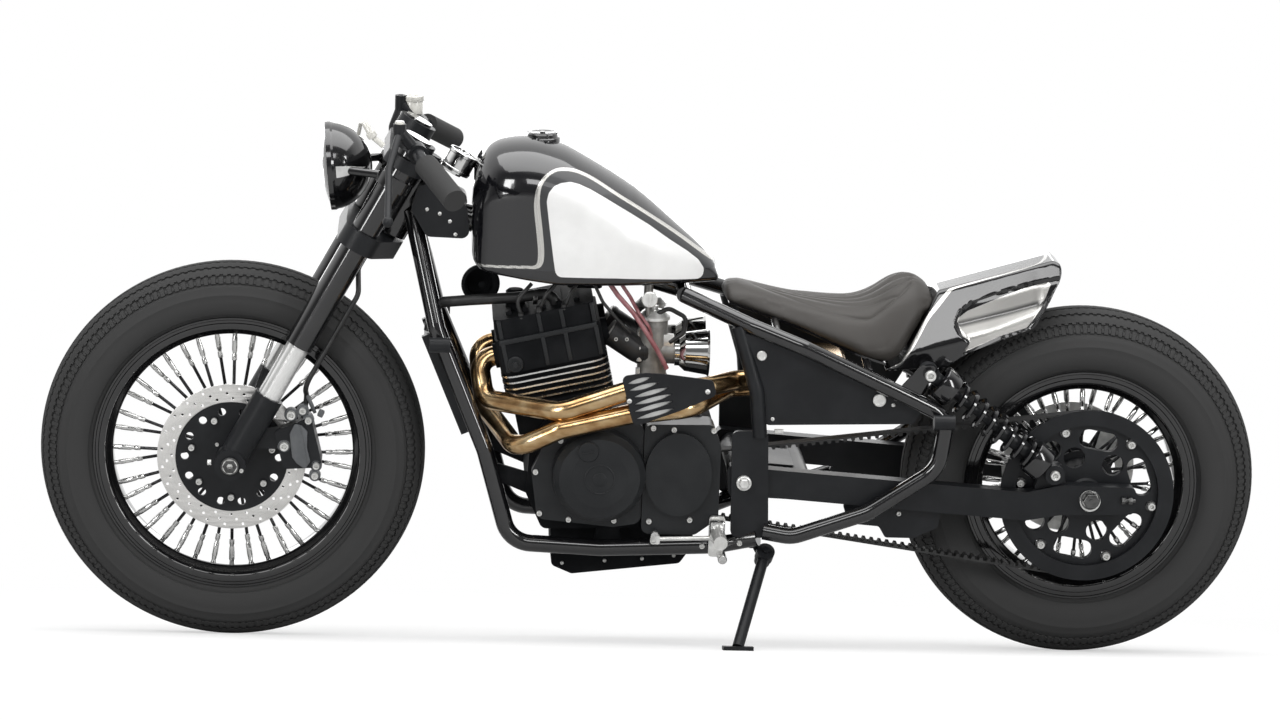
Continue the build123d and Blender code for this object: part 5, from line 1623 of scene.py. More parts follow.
class Seat(Hull):
    """Padded solo seat with sewn pleats.

    Attributes:
        ROWS: Place along the seat, height of its foot and top, and half width.
        SEAMS: Seams of the left half, (x, y) from the nose to the raised back.
        swell: Greatest swell of the pad.
        VOXEL: Size of the even mesh that the cloth run works on, in metres.
        FRAMES: Length of the cloth run.
        SEAM_DEPTH, SEAM_WIDTH: Depth and half width of a seam's dip.
        PUFF, PUFF_WIDTH: Rise of the pleats between seams and how soon it comes.
    """

    ROWS = [(-100, 641, 653, 42), (-118, 634, 665, 66), (-213, 606, 645, 90), (-308, 570, 638, 122),
            (-356, 552, 648, 124), (-400, 550, 680, 117), (-432, 598, 686, 98), (-466, 650, 664, 68)]
    CROWN = smooth_line([(x, top) for x, low, top, half in ROWS], 8)
    BOTTOM = smooth_line([(x, low) for x, low, top, half in ROWS], 8)
    HALF = smooth_line([(x, half) for x, low, top, half in ROWS], 8)
    front, rear = -99.0, -466.0
    front_round, rear_round = 12.0, 10.0
    step = 5.0
    count = 40
    bulge = 2.5
    swell = 5.0
    VOXEL = 0.0045
    FRAMES = 20
    SEAM_DEPTH, SEAM_WIDTH = 2.4, 2.4
    PUFF, PUFF_WIDTH = 1.7, 9

    SEAMS = [[(-158, 0), (-181, 16), (-211, 33), (-251, 57), (-296, 78), (-335, 89), (-356, 93)],
             [(-356, 93), (-372, 86), (-390, 79), (-408, 70), (-420, 59), (-432, 44)],
             [(-170, 0), (-205, 11), (-241, 24), (-301, 44), (-345, 56), (-380, 65), (-404, 72)],
             [(-215, 0), (-262, 15), (-310, 27), (-350, 36), (-385, 44), (-412, 42), (-432, 28)],
             [(-245, 0), (-300, 9), (-350, 14), (-390, 18), (-415, 17), (-434, 12)]]

    def half(self, x: float, inset: float) -> list[Flat]:
        """Half section: a flat foot, sides that lean in and a crowned top."""
        inset += 2.0
        low, top = value_at(self.BOTTOM, x) + inset * 0.4, value_at(self.CROWN, x) - inset
        wide, tall = value_at(self.HALF, x) - inset, max(top - low, 2.0)
        shares = ((0.94, 0), (1, 0.14), (0.97, 0.36), (0.8, 0.69), (0.42, 0.93), (0, 1))
        side = smooth_line([(wide * across, low + tall * high) for across, high in shares], 5)
        return [(0.0, low)] + [(p[0], p[1]) for p in side]

    def lifted(self, line: list[Flat]) -> list[Point]:
        """Line from above laid on the seat's top."""
        spots = []
        for x, y in (tuple(p) for p in smooth_line(line, 4)):
            section = self.half(x, -2.0)
            widest = max(range(len(section)), key=lambda k: section[k][0])
            spots.append((x, y, value_at(section[widest:], y)))
        return spots

    def padded(self, mesh: bpy.types.Mesh) -> bpy.types.Mesh:
        """Swells the pad by a cloth run, within a cap, and smooths it."""
        pad = linked("seat_pad", mesh)
        remesh = pad.modifiers.new("voxels", "REMESH")
        remesh.mode, remesh.voxel_size, remesh.use_smooth_shade = "VOXEL", self.VOXEL, True
        even = evaluated(pad)
        pad.modifiers.remove(remesh)
        pad.data = even
        start = np.array([v.co for v in even.vertices])
        cloth = pad.modifiers.new("cloth", "CLOTH").settings
        cloth.use_pressure, cloth.uniform_pressure_force = True, 4.0
        cloth.effector_weights.gravity = 0.0
        cloth.tension_stiffness = cloth.compression_stiffness = 30.0
        pad.modifiers["cloth"].point_cache.frame_end = self.FRAMES
        for number in range(1, self.FRAMES + 1):
            bpy.context.scene.frame_set(number)
        swollen = evaluated(pad)
        moved = np.array([v.co for v in swollen.vertices]) - start
        pad.modifiers.clear()
        bpy.context.scene.frame_set(1)
        length = np.linalg.norm(moved, axis=1, keepdims=True)
        moved *= np.minimum(1, self.swell / 1000 / np.maximum(length, 1e-9))
        even.vertices.foreach_set("co", (start + moved).ravel())
        finer = pad.modifiers.new("finer", "SUBSURF")
        finer.levels = finer.render_levels = 1
        smooth = evaluated(pad)
        bpy.data.objects.remove(pad)
        return smooth

    def build(self) -> None:
        """Builds the seat and sews its pleats."""
        shape = self.shape(LEATHER)
        shape.park()
        mesh = self.padded(shape.mesh("seat"))
        turn = PARKED.inverted()
        drawn = np.array([turn @ v.co for v in mesh.vertices])
        normals = np.array([v.normal for v in mesh.vertices])
        folded = np.abs(drawn) * [-1, 1, 1]
        seam = np.full(len(drawn), 50.0)
        for line in self.SEAMS:
            seam = np.minimum(seam, gap_to(self.lifted(line), folded))
        foot = np.array([value_at(self.BOTTOM, x) for x in drawn[:, 0]])
        top = np.clip((drawn[:, 2] - foot) / 30, 0, 1)
        dip = -self.SEAM_DEPTH * np.exp(-(seam / self.SEAM_WIDTH) ** 2)
        puff = self.PUFF * (1 - np.exp(-(seam / self.PUFF_WIDTH) ** 2))
        rise = (dip + puff - self.PUFF) * top
        places = np.array([v.co for v in mesh.vertices]) + normals * rise[:, None] / 1000
        mesh.vertices.foreach_set("co", places.ravel())
        # the seam distance also drives the leather's painted shade along the seams
        mesh.attributes.new("seam", "FLOAT", "POINT").data.foreach_set("value", seam)
        made = settle(mesh, "leather_seat", "frame", (LEATHER,), 180, ("seat",))


# Fittings


class Probe:
    """Finds where a line square to the machine's side meets its solids."""

    START = 400.0

    def __init__(self, *nodes: str) -> None:
        """Keeps the solids to meet."""
        self.solids = [frame["nodes"][node] for node in nodes]

    def lat(self, x: float, up: float, side: int = 1) -> float:
        """Side place of the outermost solid.

        Args:
            x: Place along the machine.
            up: Height.
            side: 1 for the left side and -1 for the right.

        Returns:
            The side place, or 0 where the line meets nothing.
        """
        start = PARKED @ Vector((x, side * self.START, up))
        way = PARKED.to_3x3() @ Vector((0, -side, 0))
        found = 0.0
        for solid in self.solids:
            back = solid.matrix_world.inverted()
            hit, spot, _, _ = solid.ray_cast(back @ start, (back.to_3x3() @ way).normalized())
            if hit:
                found = max(found, side * (PARKED.inverted() @ solid.matrix_world @ spot).y)
        return side * found

    def screws(self, places: tuple[Flat, ...], radius: float, head: Head = Head.SOCKET,
               side: int = 1) -> list[Screw]:
        """Screws seated on the solids at places of the side view."""
        return [Screw((x, self.lat(x, up, side), up), radius, (0, side, 0), head) for x, up in places]


CYLINDER_TILT = radians(13)
CYLINDERS = facing((169, 0, 424), (sin(CYLINDER_TILT), 0, cos(CYLINDER_TILT)),
                   (cos(CYLINDER_TILT), 0, -sin(CYLINDER_TILT)))


@dataclass
class Engine:
    """Bright fins, ribs, screws, hoses and the guard's liner.

    Attributes:
        cover_screws: Places of the screws round the side covers.
        sump_screws: Places of the screws on the sump.
        liner: Outline of the bright plate behind the guard's slots.
        guard_screws: Places of the guard's screws.
        fins: Number of cooling fins with a bright edge.
        fin_top, fin_step: Height of the upper one along the cylinders, and the way down to the next.
        fin_edge: Height of the bright edge.
        bore: How far each carburettor is from the middle.
        coil: How far each coil is from the middle.
        horn: Middle of the horn.
    """

    cover_screws: tuple[Flat, ...] = ((221, 346), (179, 403), (106, 432), (19, 430), (-17, 428), (-86, 428),
                                      (212, 272), (161, 262), (82, 262), (21, 263), (-50, 267))
    sump_screws: tuple[Flat, ...] = ((167, 164), (92, 170), (26, 175), (-30, 182))
    liner: tuple[Flat, ...] = ((77, 531), (38, 537), (24, 536), (-21, 500), (-24, 480), (56, 451))
    guard_screws: tuple[Flat, ...] = ((66, 491), (-68, 511))
    fins: int = 5
    fin_top: float = 98.6
    fin_step: float = 11.0
    fin_edge: float = 2.8
    bore: float = 58.0
    coil: float = 34.0
    horn: Point = (322, 22, 650)

    def fin_edges(self) -> None:
        """Polished edges of the cooling fins."""
        shape = Shape(MACHINED)
        outer = rounded([(-94.7, -109.7), (94.7, -109.7), (94.7, 109.7), (-94.7, 109.7)], 30.7, 8)
        inner = rounded([(-93, -108), (93, -108), (93, 108), (-93, 108)], 29, 8)
        for k in range(self.fins):
            low = self.fin_top - self.fin_step * k
            high = low + self.fin_edge
            rings = [[CYLINDERS @ Vector((u, v, up)) for u, v in line]
                     for line, up in ((outer, low), (outer, high), (inner, high), (inner, low))]
            shape.skin([shape.ring(ring) for ring in rings], closed=True)
        shape.piece("fin_edges", "frame", 40)

    def ribs(self) -> None:
        """Ribs and bosses on the sides of the head and its cover."""
        shape = Shape(COVER_BLACK, ZINC)
        for ahead in (-84, -30, 10, 80):
            shape.block((7, 8, 52), CYLINDERS @ moved_by(ahead, 108, 110), 1.2)
            shape.block((7, 8, 36), CYLINDERS @ moved_by(ahead, 104, 166), 1.2)
        shape.block((172, 7, 9), CYLINDERS @ moved_by(0, 108.5, 159), 1.5)
        side = facing(CYLINDERS @ Vector((66, 108, 122)), LEFT)
        shape.turned([(14, 0), (14, 5), (12.6, 6.2), (10.4, 6.2), (10, 4.5), (0, 4.5)], side, 32)
        shape.turned([(6, 4), (6, 9), (5, 10), (0, 10)], side, 6)
        shape.mirrored()
        shape.piece("head_ribs", "frame")

    def plug(self) -> None:
        """Slotted filler plug of the front cover."""
        shape = Shape(COVER_BLACK)
        side = leftward(132, 394, 183)
        shape.turned([(18, 0), (18, 6.2), (16.6, 7.6), (0, 7.6)], side, 40)
        shape.block((22, 4, 1.6), side @ moved_by(0, 0, 7.2) @ turned_by(0.25), 0.6)
        ring = leftward(111, 345, 187)
        shape.turned([(27, 0), (27, 1.7), (26, 2.2), (24.6, 2.2), (24, 1.6), (24, 0)], ring, 56)
        shape.turned([(12, 0), (12, 1.7), (11, 2.2), (0, 2.2)], ring, 36)
        shape.piece("cover_plug", "frame")

    def guard(self) -> None:
        """Bright liner behind the slots of the pipes' guard."""
        shape = Shape(SILVER)
        outline = rounded([(-x, up) for x, up in self.liner], 5)
        shape.panel([outline], leftward(0, 0, 204.4), 1.5)
        shape.piece("guard_liner", "frame")

    def hoses(self) -> None:
        """Fuel hoses, plug leads and the vent hose."""
        fuel = Shape(FUEL_HOSE)
        feed = [(104, 92, 676), (86, 97, 652), (58, 99, 622), (36, 98, 590), (14, 94, 556), (-4, 88, 522)]
        fuel.bar(feed, 4.3, 14, 30)
        fuel.bar([(84, 88, 676), (64, 92, 648), (48, 93, 620), (30, 90, 596), (24, 80, 576)], 3.4, 12, 24)
        fuel.piece("fuel_hoses", "frame")
        leads = Shape(HOSE, ZINC)
        for start, middle, end in (((252, 98, 612), (262, 104, 640), (236, 92, 668)),
                                   ((222, 98, 624), (212, 104, 650), (188, 88, 676)),
                                   ((178, 98, 630), (168, 100, 656), (150, 84, 678))):
            leads.bar([start, middle, end], 3.4, 12, 18)
        leads.bar([(22, 72, 612), (-4, 78, 628), (-36, 80, 612), (-32, 78, 584), (-8, 74, 566)], 4, 12, 14)
        leads.bar([(130, 96, 676), (112, 100, 640), (86, 98, 610), (62, 90, 585)], 3, 12, 30)
        leads.slot = 1
        for spot in ((252, 98, 603), (222, 98, 615), (178, 98, 621)):
            leads.turned([(6.5, 0), (6.5, 8), (5, 10), (4.4, 16), (0, 16)], facing(spot, (0.1, 0.3, 1)), 18)
        leads.piece("leads_and_vents", "frame")

    def boots(self) -> None:
        """Rubber boots between the carburettors and the head, with their clips."""
        boots = Shape(HOSE, ZINC)
        for lat in (self.bore, -self.bore):
            line = rounded([(97, lat, 581), (44, lat, 547), (26, lat, 547)], 30, 8, False)
            boots.bar(line, 23.6, 28)
            boots.slot = 1
            for near, far in ((line[0], line[1]), (line[-1], line[-2])):
                clip = [(23, 3), (24.8, 3), (24.8, 9), (23, 9)]
                boots.turned(clip, facing(near, far - near), 32, closed=True)
            boots.slot = 0
        boots.piece("intake_boots", "frame")

    def intake(self) -> None:
        """Bright fittings of the carburettors and the tap."""
        shape = Shape(ZINC, CAST_GREY)
        shape.block((20, 12, 24), standing(-6, 70, 556), 2)
        shape.turned([(5, 0), (5, 22), (3.6, 26), (0, 26)], facing((44, 74, 532), (0, 0.1, 1)), 18)
        shape.turned([(7, 0), (7, 6), (4.5, 7), (4.5, 20), (0, 20)], facing((46, 76, 500), (0, 0.1, 1)), 6)
        shape.slot = 1
        face = leftward(32, 650, 114)
        shape.turned([(14, 0), (14, 5), (12.6, 6.4), (0, 6.4)], face, 32)
        shape.block((5, 20, 4), face @ moved_by(0, 0, 6), 1)
        shape.block((54, 26, 7), standing(34, 70, 671), 2)
        for lat in (self.bore, -self.bore):
            lid = facing((20, lat, 612), UP)
            cap = [(27, -8), (28.5, -7), (28.5, -2), (25, 1), (18, 8), (7, 10), (7, 16), (0, 16)]
            shape.turned(cap, lid, 36)
            ring = facing((20, lat, 500), UP)
            shape.turned([(25, 1), (27, 2), (27, 7), (25, 8)], ring, 36)
        shape.piece("intake_fittings", "frame")

    def electrics(self) -> None:
        """Coils, horn and thermostat housing in the shade under the tank."""
        shape = Shape(CAST_BLACK, DARK_STEEL)
        for lat in (self.coil, -self.coil):
            shape.block((62, 26, 34), standing(142, lat, 652), 5)
            shape.turned([(7, 0), (7, 16), (5, 18), (0, 18)], facing((176, lat, 668), (1, 0, -0.2)), 18)
        back = facing(self.horn, (0.2, -1, 0))
        shape.turned([(30, 0), (34, 3), (34, 9), (24, 13), (20, 30), (0, 32)], back, 40)
        shape.turned([(17, 0), (17, 30), (12, 34), (0, 34)], facing((262, 30, 612), UP), 30)
        shape.slot = 1
        shape.turned([(6, 0), (6, 3), (0, 3)], facing(self.horn, (-0.2, 1, 0)), 6)
        shape.piece("electrics", "frame")

    def build(self, screws: ScrewSet) -> None:
        """Builds the engine's fittings."""
        for part in (self.fin_edges, self.ribs, self.plug, self.guard, self.hoses, self.boots, self.intake,
                     self.electrics):
            part()
        case = Probe("engine_covers", "crankcase")
        heads = case.screws(self.cover_screws, 4.8) + case.screws(self.sump_screws, 3.4, Head.BUTTON)
        heads += Probe("heat_shield").screws(self.guard_screws, 4.6, Head.BUTTON)
        heads += Probe("carburettors", "cylinder_head").screws(((86, 571), (67, 571)), 3.4)
        heads += [Screw((190 - 62 * k, -158, 256 + 6 * k), 4.8, (0, -1, 0)) for k in range(4)]
        screws.piece("engine_screws", "frame", heads, ZINC)


@dataclass
class Chassis:
    """Locks, bolts, clamps, shock cups with painted highlights and the pedal's fittings.

    Attributes:
        lock_places: Place and radius of each key lock.
        shock_foot, shock_top: Middles of the left shock's eyes.
        cup: Height of the cup at each end of a shock.
        cover_screws: Places of the screws of the side covers on both sides.
        front_screws: Places of the left side's screws at the steering head.
        tube_bolts: Places of the bolts through the pivot plates.
        rear_axle: Left face of the rear axle.
        adjuster: Middle of the belt adjuster's screw.
        post_clip: Middle of the clip on the tube beside the head.
    """

    lock_places: tuple[Point, ...] = ((-163, 565, 8.6), (-371, 491, 11.5))
    shock_foot: Point = (-684, 152, 366)
    shock_top: Point = (-455, 152, 541)
    cup: float = 34.0
    cover_screws: tuple[Flat, ...] = ((-187, 452), (-396, 482))
    front_screws: tuple[Flat, ...] = ((370, 747), (420, 790), (398, 783), (380, 770))
    tube_bolts: tuple[Flat, ...] = ((-74, 219), (-138, 230))
    rear_axle: Point = (-750, 321, 158)
    adjuster: Point = (-806, 153, 320)
    post_clip: Point = (228, 60, 636)

    def locks(self) -> None:
        """Key locks and the red catch of the side covers."""
        shape = Shape(ZINC, SIGNAL_RED, DARK_STEEL)
        cover = Probe("side_covers")
        for x, up, radius in self.lock_places:
            face = leftward(x, up, cover.lat(x, up) - 1)
            shape.slot = 0
            steps = ((0, 0), (0, 2.6), (1, 3.6), (3.4, 3.6), (3.8, 2.8), (radius, 2.8))
            shape.turned([(radius - inward, high) for inward, high in steps], face, 36)
            shape.slot = 2
            shape.block((radius, 1.6, 0.5), face @ moved_by(0, 0, 2.7), 0)
        shape.slot = 1
        shape.block((16, 7, 5), leftward(-200, 428, 140), 1)
        shape.piece("cover_locks", "frame")

    def shocks(self) -> None:
        """Cups at both ends of the shocks, with silver bands over part of their round that are painted
        highlights.
        """
        shape = Shape(GLOSS_BLACK, SILVER)
        foot, top, tall = Vector(self.shock_foot), Vector(self.shock_top), self.cup
        axis = (top - foot).normalized()
        angles = [0.1 - 0.05 * k for k in range(17)]
        for along in (21, 232):
            at = facing(foot + axis * along, axis, LEFT)
            shape.slot = 0
            cup = [(20, 0), (30.5, 2), (31.5, 4), (31.5, tall - 4), (30.5, tall - 2), (20, tall)]
            shape.turned(cup, at, 40)
            # painted highlights: silver strips over part of each cup's round, standing for the reflection on
            # the gloss shock
            shape.slot = 1
            rings = []
            for radius, high in ((31.2, 6), (32.1, 6), (32.1, tall - 6), (31.2, tall - 6)):
                arc = [Vector((radius * cos(angle), radius * sin(angle), high)) for angle in angles]
                rings.append(shape.ring([at @ spot for spot in arc]))
            for low, high in zip(rings, rings[1:] + rings[:1]):
                for k in range(len(angles) - 1):
                    shape.face([low[k], low[k + 1], high[k + 1], high[k]])
            for k in (0, -1):
                shape.face([ring[k] for ring in rings])
        shape.mirrored()
        shape.piece("shock_cups", "frame")

    def pedal(self) -> None:
        """Knuckle of the shift rod, rubber of its lever and ribs of the pegs."""
        shape = Shape(MACHINED, GRIP)
        shape.panel([slot(24, 13, (0, 0), 80)], leftward(12, 239, 163), 11, 1.5)
        shape.panel([slot(24, 13, (0, 0), 90)], leftward(-94, 243, 163), 11, 1.5)
        shape.block((26, 20, 30), standing(-97, 174, 243), 4)
        shape.slot = 1
        shape.turned([(5, 0), (8, 1.5), (8, 33), (6.6, 35), (0, 35)], facing((-107, 160, 208), LEFT), 20)
        shape.piece("shift_fittings", "frame")

    def nuts(self) -> None:
        """Rear axle's nut, the belt adjuster's nuts and the clip of the tube beside the head."""
        shape = Shape(DARK_STEEL, ZINC)
        axle, adjuster = leftward(*self.rear_axle), facing(self.adjuster, (-1, 0, 0))
        shape.turned([(17, 0), (17, 2), (14.5, 3)], axle, 36)
        shape.turned([(14.4, 2), (14.4, 12), (12.6, 13.4), (5, 13.4)], axle, 6)
        shape.turned([(5, 12), (5, 15), (0, 15)], axle, 16)
        shape.slot = 1
        for high in (0, 12):
            shape.turned([(0, high), (6.5, high), (6.5, high + 7), (0, high + 7)], adjuster, 6)
        shape.turned([(3.4, 0), (3.4, 24), (0, 24)], adjuster, 16)
        band = [(10.6, -4), (11.2, -3), (11.2, 3), (10.6, 4), (9.2, 4), (9.2, -4)]
        shape.turned(band, facing(self.post_clip, AHEAD), 28, closed=True)
        shape.block((8, 7, 5), standing(self.post_clip[0], self.post_clip[1], self.post_clip[2] + 11), 1)
        shape.piece("axle_nuts", "frame")

    def build(self, screws: ScrewSet) -> None:
        """Builds the chassis's fittings."""
        for part in (self.locks, self.shocks, self.pedal):
            part()
        cover, tube = Probe("side_covers"), Probe("cradle_tubes", "pivot_plates", "frame_spine")
        heads = cover.screws(self.cover_screws + self.front_screws, 3.6, Head.BUTTON)
        heads += tube.screws(self.tube_bolts, 4.8)
        paired = [Screw((-141, 166, 339), 9.5, head=Head.HEX), Screw((-455, 175, 541), 9.4),
                  Screw((-684, 165, 366), 8.6), Screw((-418, 131, 282), 4.2)]
        heads += paired
        heads += [Screw((s.at[0], -s.at[1], s.at[2]), s.radius, (0, -1, 0), s.head) for s in paired]
        heads += cover.screws(self.cover_screws, 3.6, Head.BUTTON, -1)
        screws.piece("chassis_screws", "frame", heads, ZINC)
        self.nuts()


@dataclass
class FrontEnd:
    """Lamp's painted highlights, caliper dress, gauge, reservoir and bolts that steer with the fork.

    Attributes:
        caliper: Outline of the raised face of the caliper.
        caliper_bolts: Its bolts' places and radii.
        caliper_middle: Where the height of its face is taken.
        lamp: Middle of the lamp's bowl.
        lamp_radius: Radius of its bowl.
        lamp_droop: Degrees that the lamp looks down.
        painted_highlight_turns: Degrees round the bowl at which the silver strips of painted highlight lie.
        gauge_place: Place of the instrument on the fork.
        pot: Foot of the fluid pot.
        adjuster: Foot of the cable's adjuster.
    """

    caliper: tuple[Flat, ...] = ((640, 410), (649, 391), (644, 349), (636, 338), (621, 328), (612, 342),
                                 (618, 366), (618, 396), (628, 406))
    caliper_bolts: tuple[tuple[float, float, float], ...] = ((647, 424, 8), (658, 368, 8), (627, 432, 6.2),
                                                            (617, 415, 6.2), (602, 334, 6.2), (604, 316, 6.2))
    caliper_middle: Flat = (632, 370)
    lamp: Point = (517, 0, 857)
    lamp_radius: float = 77.1
    lamp_droop: float = 5.6
    painted_highlight_turns: tuple[float, ...] = (0, 90, 180, 270)
    gauge_place: Point = (0, 90, 658.6)
    pot: Point = (449, -166, 913)
    adjuster: Point = (514, 166, 929)

    def lamp_darts(self) -> None:
        """Silver strips on the lamp's bowl, drawn on its sphere: painted highlights where the gloss bowl
        reflects the lamps.
        """
        shape = Shape(SILVER)
        droop, size = radians(self.lamp_droop), self.lamp_radius
        at = facing(self.lamp, (cos(droop), 0, -sin(droop)), LEFT)
        # each strip is a painted highlight in silver laid on the black bowl
        for turn in self.painted_highlight_turns:
            rings = []
            for k in range(13):
                share = k / 12
                depth = 61 - 50 * share
                radius = sqrt(size ** 2 - (size - depth) ** 2)
                wide = max(10 * (1 - share ** 1.7), 0.25) / radius
                row = []
                for lift, side in ((-0.6, -1), (0.7, -1), (0.7, -0.33), (0.7, 0.33), (0.7, 1), (-0.6, 1)):
                    angle, reach = radians(turn) + wide * side, radius + lift
                    row.append(at @ Vector((reach * cos(angle), reach * sin(angle), depth)))
                rings.append(shape.ring(row))
            shape.skin(rings, capped=True)
        shape.piece("lamp_darts", "fork")

    def brake(self) -> None:
        """Raised face, split line and banjo fittings of the caliper."""
        shape = Shape(CALIPER_GREY, SATIN_BLACK, ZINC)
        lat = Probe("front_caliper").lat(*self.caliper_middle)
        flat = [(-x, up) for x, up in self.caliper]
        shape.panel([rounded(flat, 5)], leftward(0, 0, lat - 0.6), 4.6, 1.6)
        shape.slot = 1
        shape.bar([(631, lat + 4.1, 407), (624, lat + 4.1, 379), (617, lat + 4.1, 340)], 0.9, 8)
        for x, up, radius in self.caliper_bolts:
            boss = [(radius + 4, -12), (radius + 4, -1), (radius + 3, 0), (0, 0)]
            shape.turned(boss, leftward(x, up, lat), 28)
        shape.slot = 2
        shape.block((14, 10, 12), facing((598, 80, 420), (-0.4, 0, 0.9), LEFT), 2)
        shape.turned([(3, 0), (3.6, 14), (3.6, 44), (0, 46)], facing((606, 72, 424), (0.42, -0.05, 0.9)), 14)
        shape.piece("caliper_face", "fork")

    def gauge(self) -> None:
        """Dial, bezel, ticks and needle of the round instrument."""
        at = facing(on_fork(*self.gauge_place), FORK_AXIS, LEFT)
        shape = Shape(CHROME, DIAL, DIAL_INK)
        shape.turned([(26.6, -4), (27.4, -3), (27.4, 2), (26.2, 3.2), (24, 3.2), (23, 1), (23, 0)], at, 56)
        shape.turned([(26.4, -31), (27.2, -30), (27.2, -27), (26.4, -26)], at, 56)
        shape.slot = 1
        shape.turned([(23.4, 0.4), (0, 0.4)], at, 48)
        shape.slot = 2
        first, step = radians(225), radians(22.5)
        for k in range(13):
            place = at @ turned_by(first - step * k) @ moved_by(18.5, 0, 0.3)
            shape.block((5 if k % 2 == 0 else 3, 1, 0.5), place, 0)
        shape.block((17, 1.1, 0.6), at @ turned_by(first) @ moved_by(7, 0, 0.5), 0)
        shape.turned([(3, 0.4), (3, 2), (0, 2)], at, 16)
        shape.piece("gauge_dial", "fork")

    def controls(self) -> None:
        """Reservoir, cable adjuster and the rubbers of the grips' ends."""
        shape = Shape(CLEAR_POT, ZINC, HOSE, CAST_GREY)
        pot = facing(self.pot, UP)
        shape.turned([(17.6, 0), (18.4, 2), (18.4, 28), (17.6, 30)], pot, 40)
        shape.slot = 1
        shape.turned([(19.4, 29), (19.8, 30), (19.8, 37), (18.6, 38.6), (9, 38.6), (8, 41), (0, 41)], pot, 40)
        shape.turned([(8, 0), (8.6, 2), (8.6, 9), (7, 11)], facing(self.adjuster, (0.55, 0, 0.83)), 24)
        shape.slot = 2
        shape.bar([(496, 168, 915), self.adjuster], 5, 16)
        cable = [(519, 166, 937), (529, 160, 952), (536, 140, 950), (540, 112, 925)]
        shape.bar(cable, [6.5, 5.5, 3.6, 3.2], 16)
        shape.slot = 3
        shape.turned([(7.5, 0), (8, 1.5), (8, 9), (7, 11), (0, 11)], facing((470, 158, 946), UP), 24)
        shape.piece("bar_fittings", "fork")

    def build(self, screws: ScrewSet) -> None:
        """Builds the front end's fittings."""
        for part in (self.lamp_darts, self.brake, self.gauge, self.controls):
            part()
        lat = Probe("front_caliper").lat(*self.caliper_middle)
        heads = [Screw((x, lat, up), radius) for x, up, radius in self.caliper_bolts]
        ahead = tuple(FORK.to_3x3() @ Vector((0, -1, 0)))
        clamps = [on_fork(side * 100, -31, 447 + high) for side in (1, -1) for high in (0, 14)]
        heads += [Screw(spot, 4.4, ahead) for spot in clamps]
        heads += [Screw(on_fork(0, 30, 619), 13, FORK_AXIS, Head.HEX)]
        heads += [Screw((784, 128, 345), 5, AHEAD), Screw((730, 127, 331), 3.6)]
        screws.piece("front_screws", "fork", heads, ZINC)
        axle = Shape(DARK_STEEL, ZINC)
        at = leftward(STANCE.axle[0], STANCE.axle[2], 128)
        axle.turned([(15.4, 0), (15.4, 5.4), (14.6, 6.2), (13, 6.2), (12.6, 5)], at, 40)
        axle.turned([(12.6, 5), (12.6, 7.4), (11.6, 8.2), (6, 8.2), (5.6, 6), (0, 6)], at, 6)
        axle.piece("front_axle_head", "fork")


@dataclass
class PulleyBolts:
    """Bolts and dark washers on the belt wheel's arms.

    Attributes:
        wheel: Wheel that carries them.
        radius: Radius of their circle.
        lat: Face of the arms.
    """

    wheel: Wheel
    radius: float = 119.0
    lat: float = 107.6

    def build(self, screws: ScrewSet) -> None:
        """Builds the bolts and washers."""
        spots = circle(self.radius, 6, (self.wheel.x, self.wheel.axle[2]), radians(9))
        shape = Shape(GLOSS_BLACK)
        for x, up in spots:
            shape.turned([(10.6, 0), (10.6, 1.6), (9.6, 2.4), (0, 2.4)], leftward(x, up, self.lat), 28)
        shape.piece("pulley_washers", "rear_wheel")
        heads = [Screw((x, self.lat + 2.2, up), 7.0) for x, up in spots]
        screws.piece("pulley_screws", "rear_wheel", heads, ZINC)


# Solids


class Solids:
    """Solids that keep their shape and get their finishes."""

    TABLE = (
        (RIM_BLACK, ("front_rim", "rear_rim")),
        (GLOSS_BLACK, ("frame_spine", "cradle_tubes", "rear_loops", "fork_outer_tubes", "lamp_shell",
                       "shock_springs")),
        (SATIN_BLACK, ("pivot_plates", "swingarm", "fork_feet", "yokes", "front_caliper", "clip_on_bars",
                       "hand_controls", "side_covers", "shocks", "radiator", "heat_shield", "side_stand",
                       "front_hub", "rear_hub", "rear_pulley", "indicators", "rear_caliper")),
        (CAST_BLACK, ("crankcase", "barrels", "cylinder_head")),
        (COVER_BLACK, ("engine_covers",)),
        (CHROME, ("velocity_stacks", "gauge")),
        (TUBE_CHROME_PAINTED_SHEEN, ("fork_inner_tubes",)),
        (ZINC, ("front_axle", "rear_axle", "foot_controls", "rear_brake_disc")),
        (SPOKE_STEEL, ("front_spokes", "rear_spokes")),
        (MACHINED, ("front_brake_disc",)),
        (CAST_GREY, ("carburettors",)),
        (PIPE, ("exhaust",)),
        (RUBBER, ("front_tyre", "rear_tyre")),
        (BELT, ("drive_belt",)),
        (HOSE, ("brake_hose", "coolant_hose")),
        (GRIP, ("grips",)),
        (GLASS, ("lamp_lens",)),
        (TANK_PAINT, ("fuel_tank",)),
        (TAIL_PAINT, ("tail",)),
        (LEATHER, ("seat",)),
    )

    def dress(self) -> None:
        """Gives every solid its finish."""
        for finish, nodes in self.TABLE:
            for node in nodes:
                materials = frame["nodes"][node].data.materials
                if not materials:
                    materials.append(finish.material())
                for k in range(len(materials)):
                    materials[k] = finish.material()
        LOG.info("%d solids dressed", sum(len(nodes) for _, nodes in self.TABLE))


# Studio


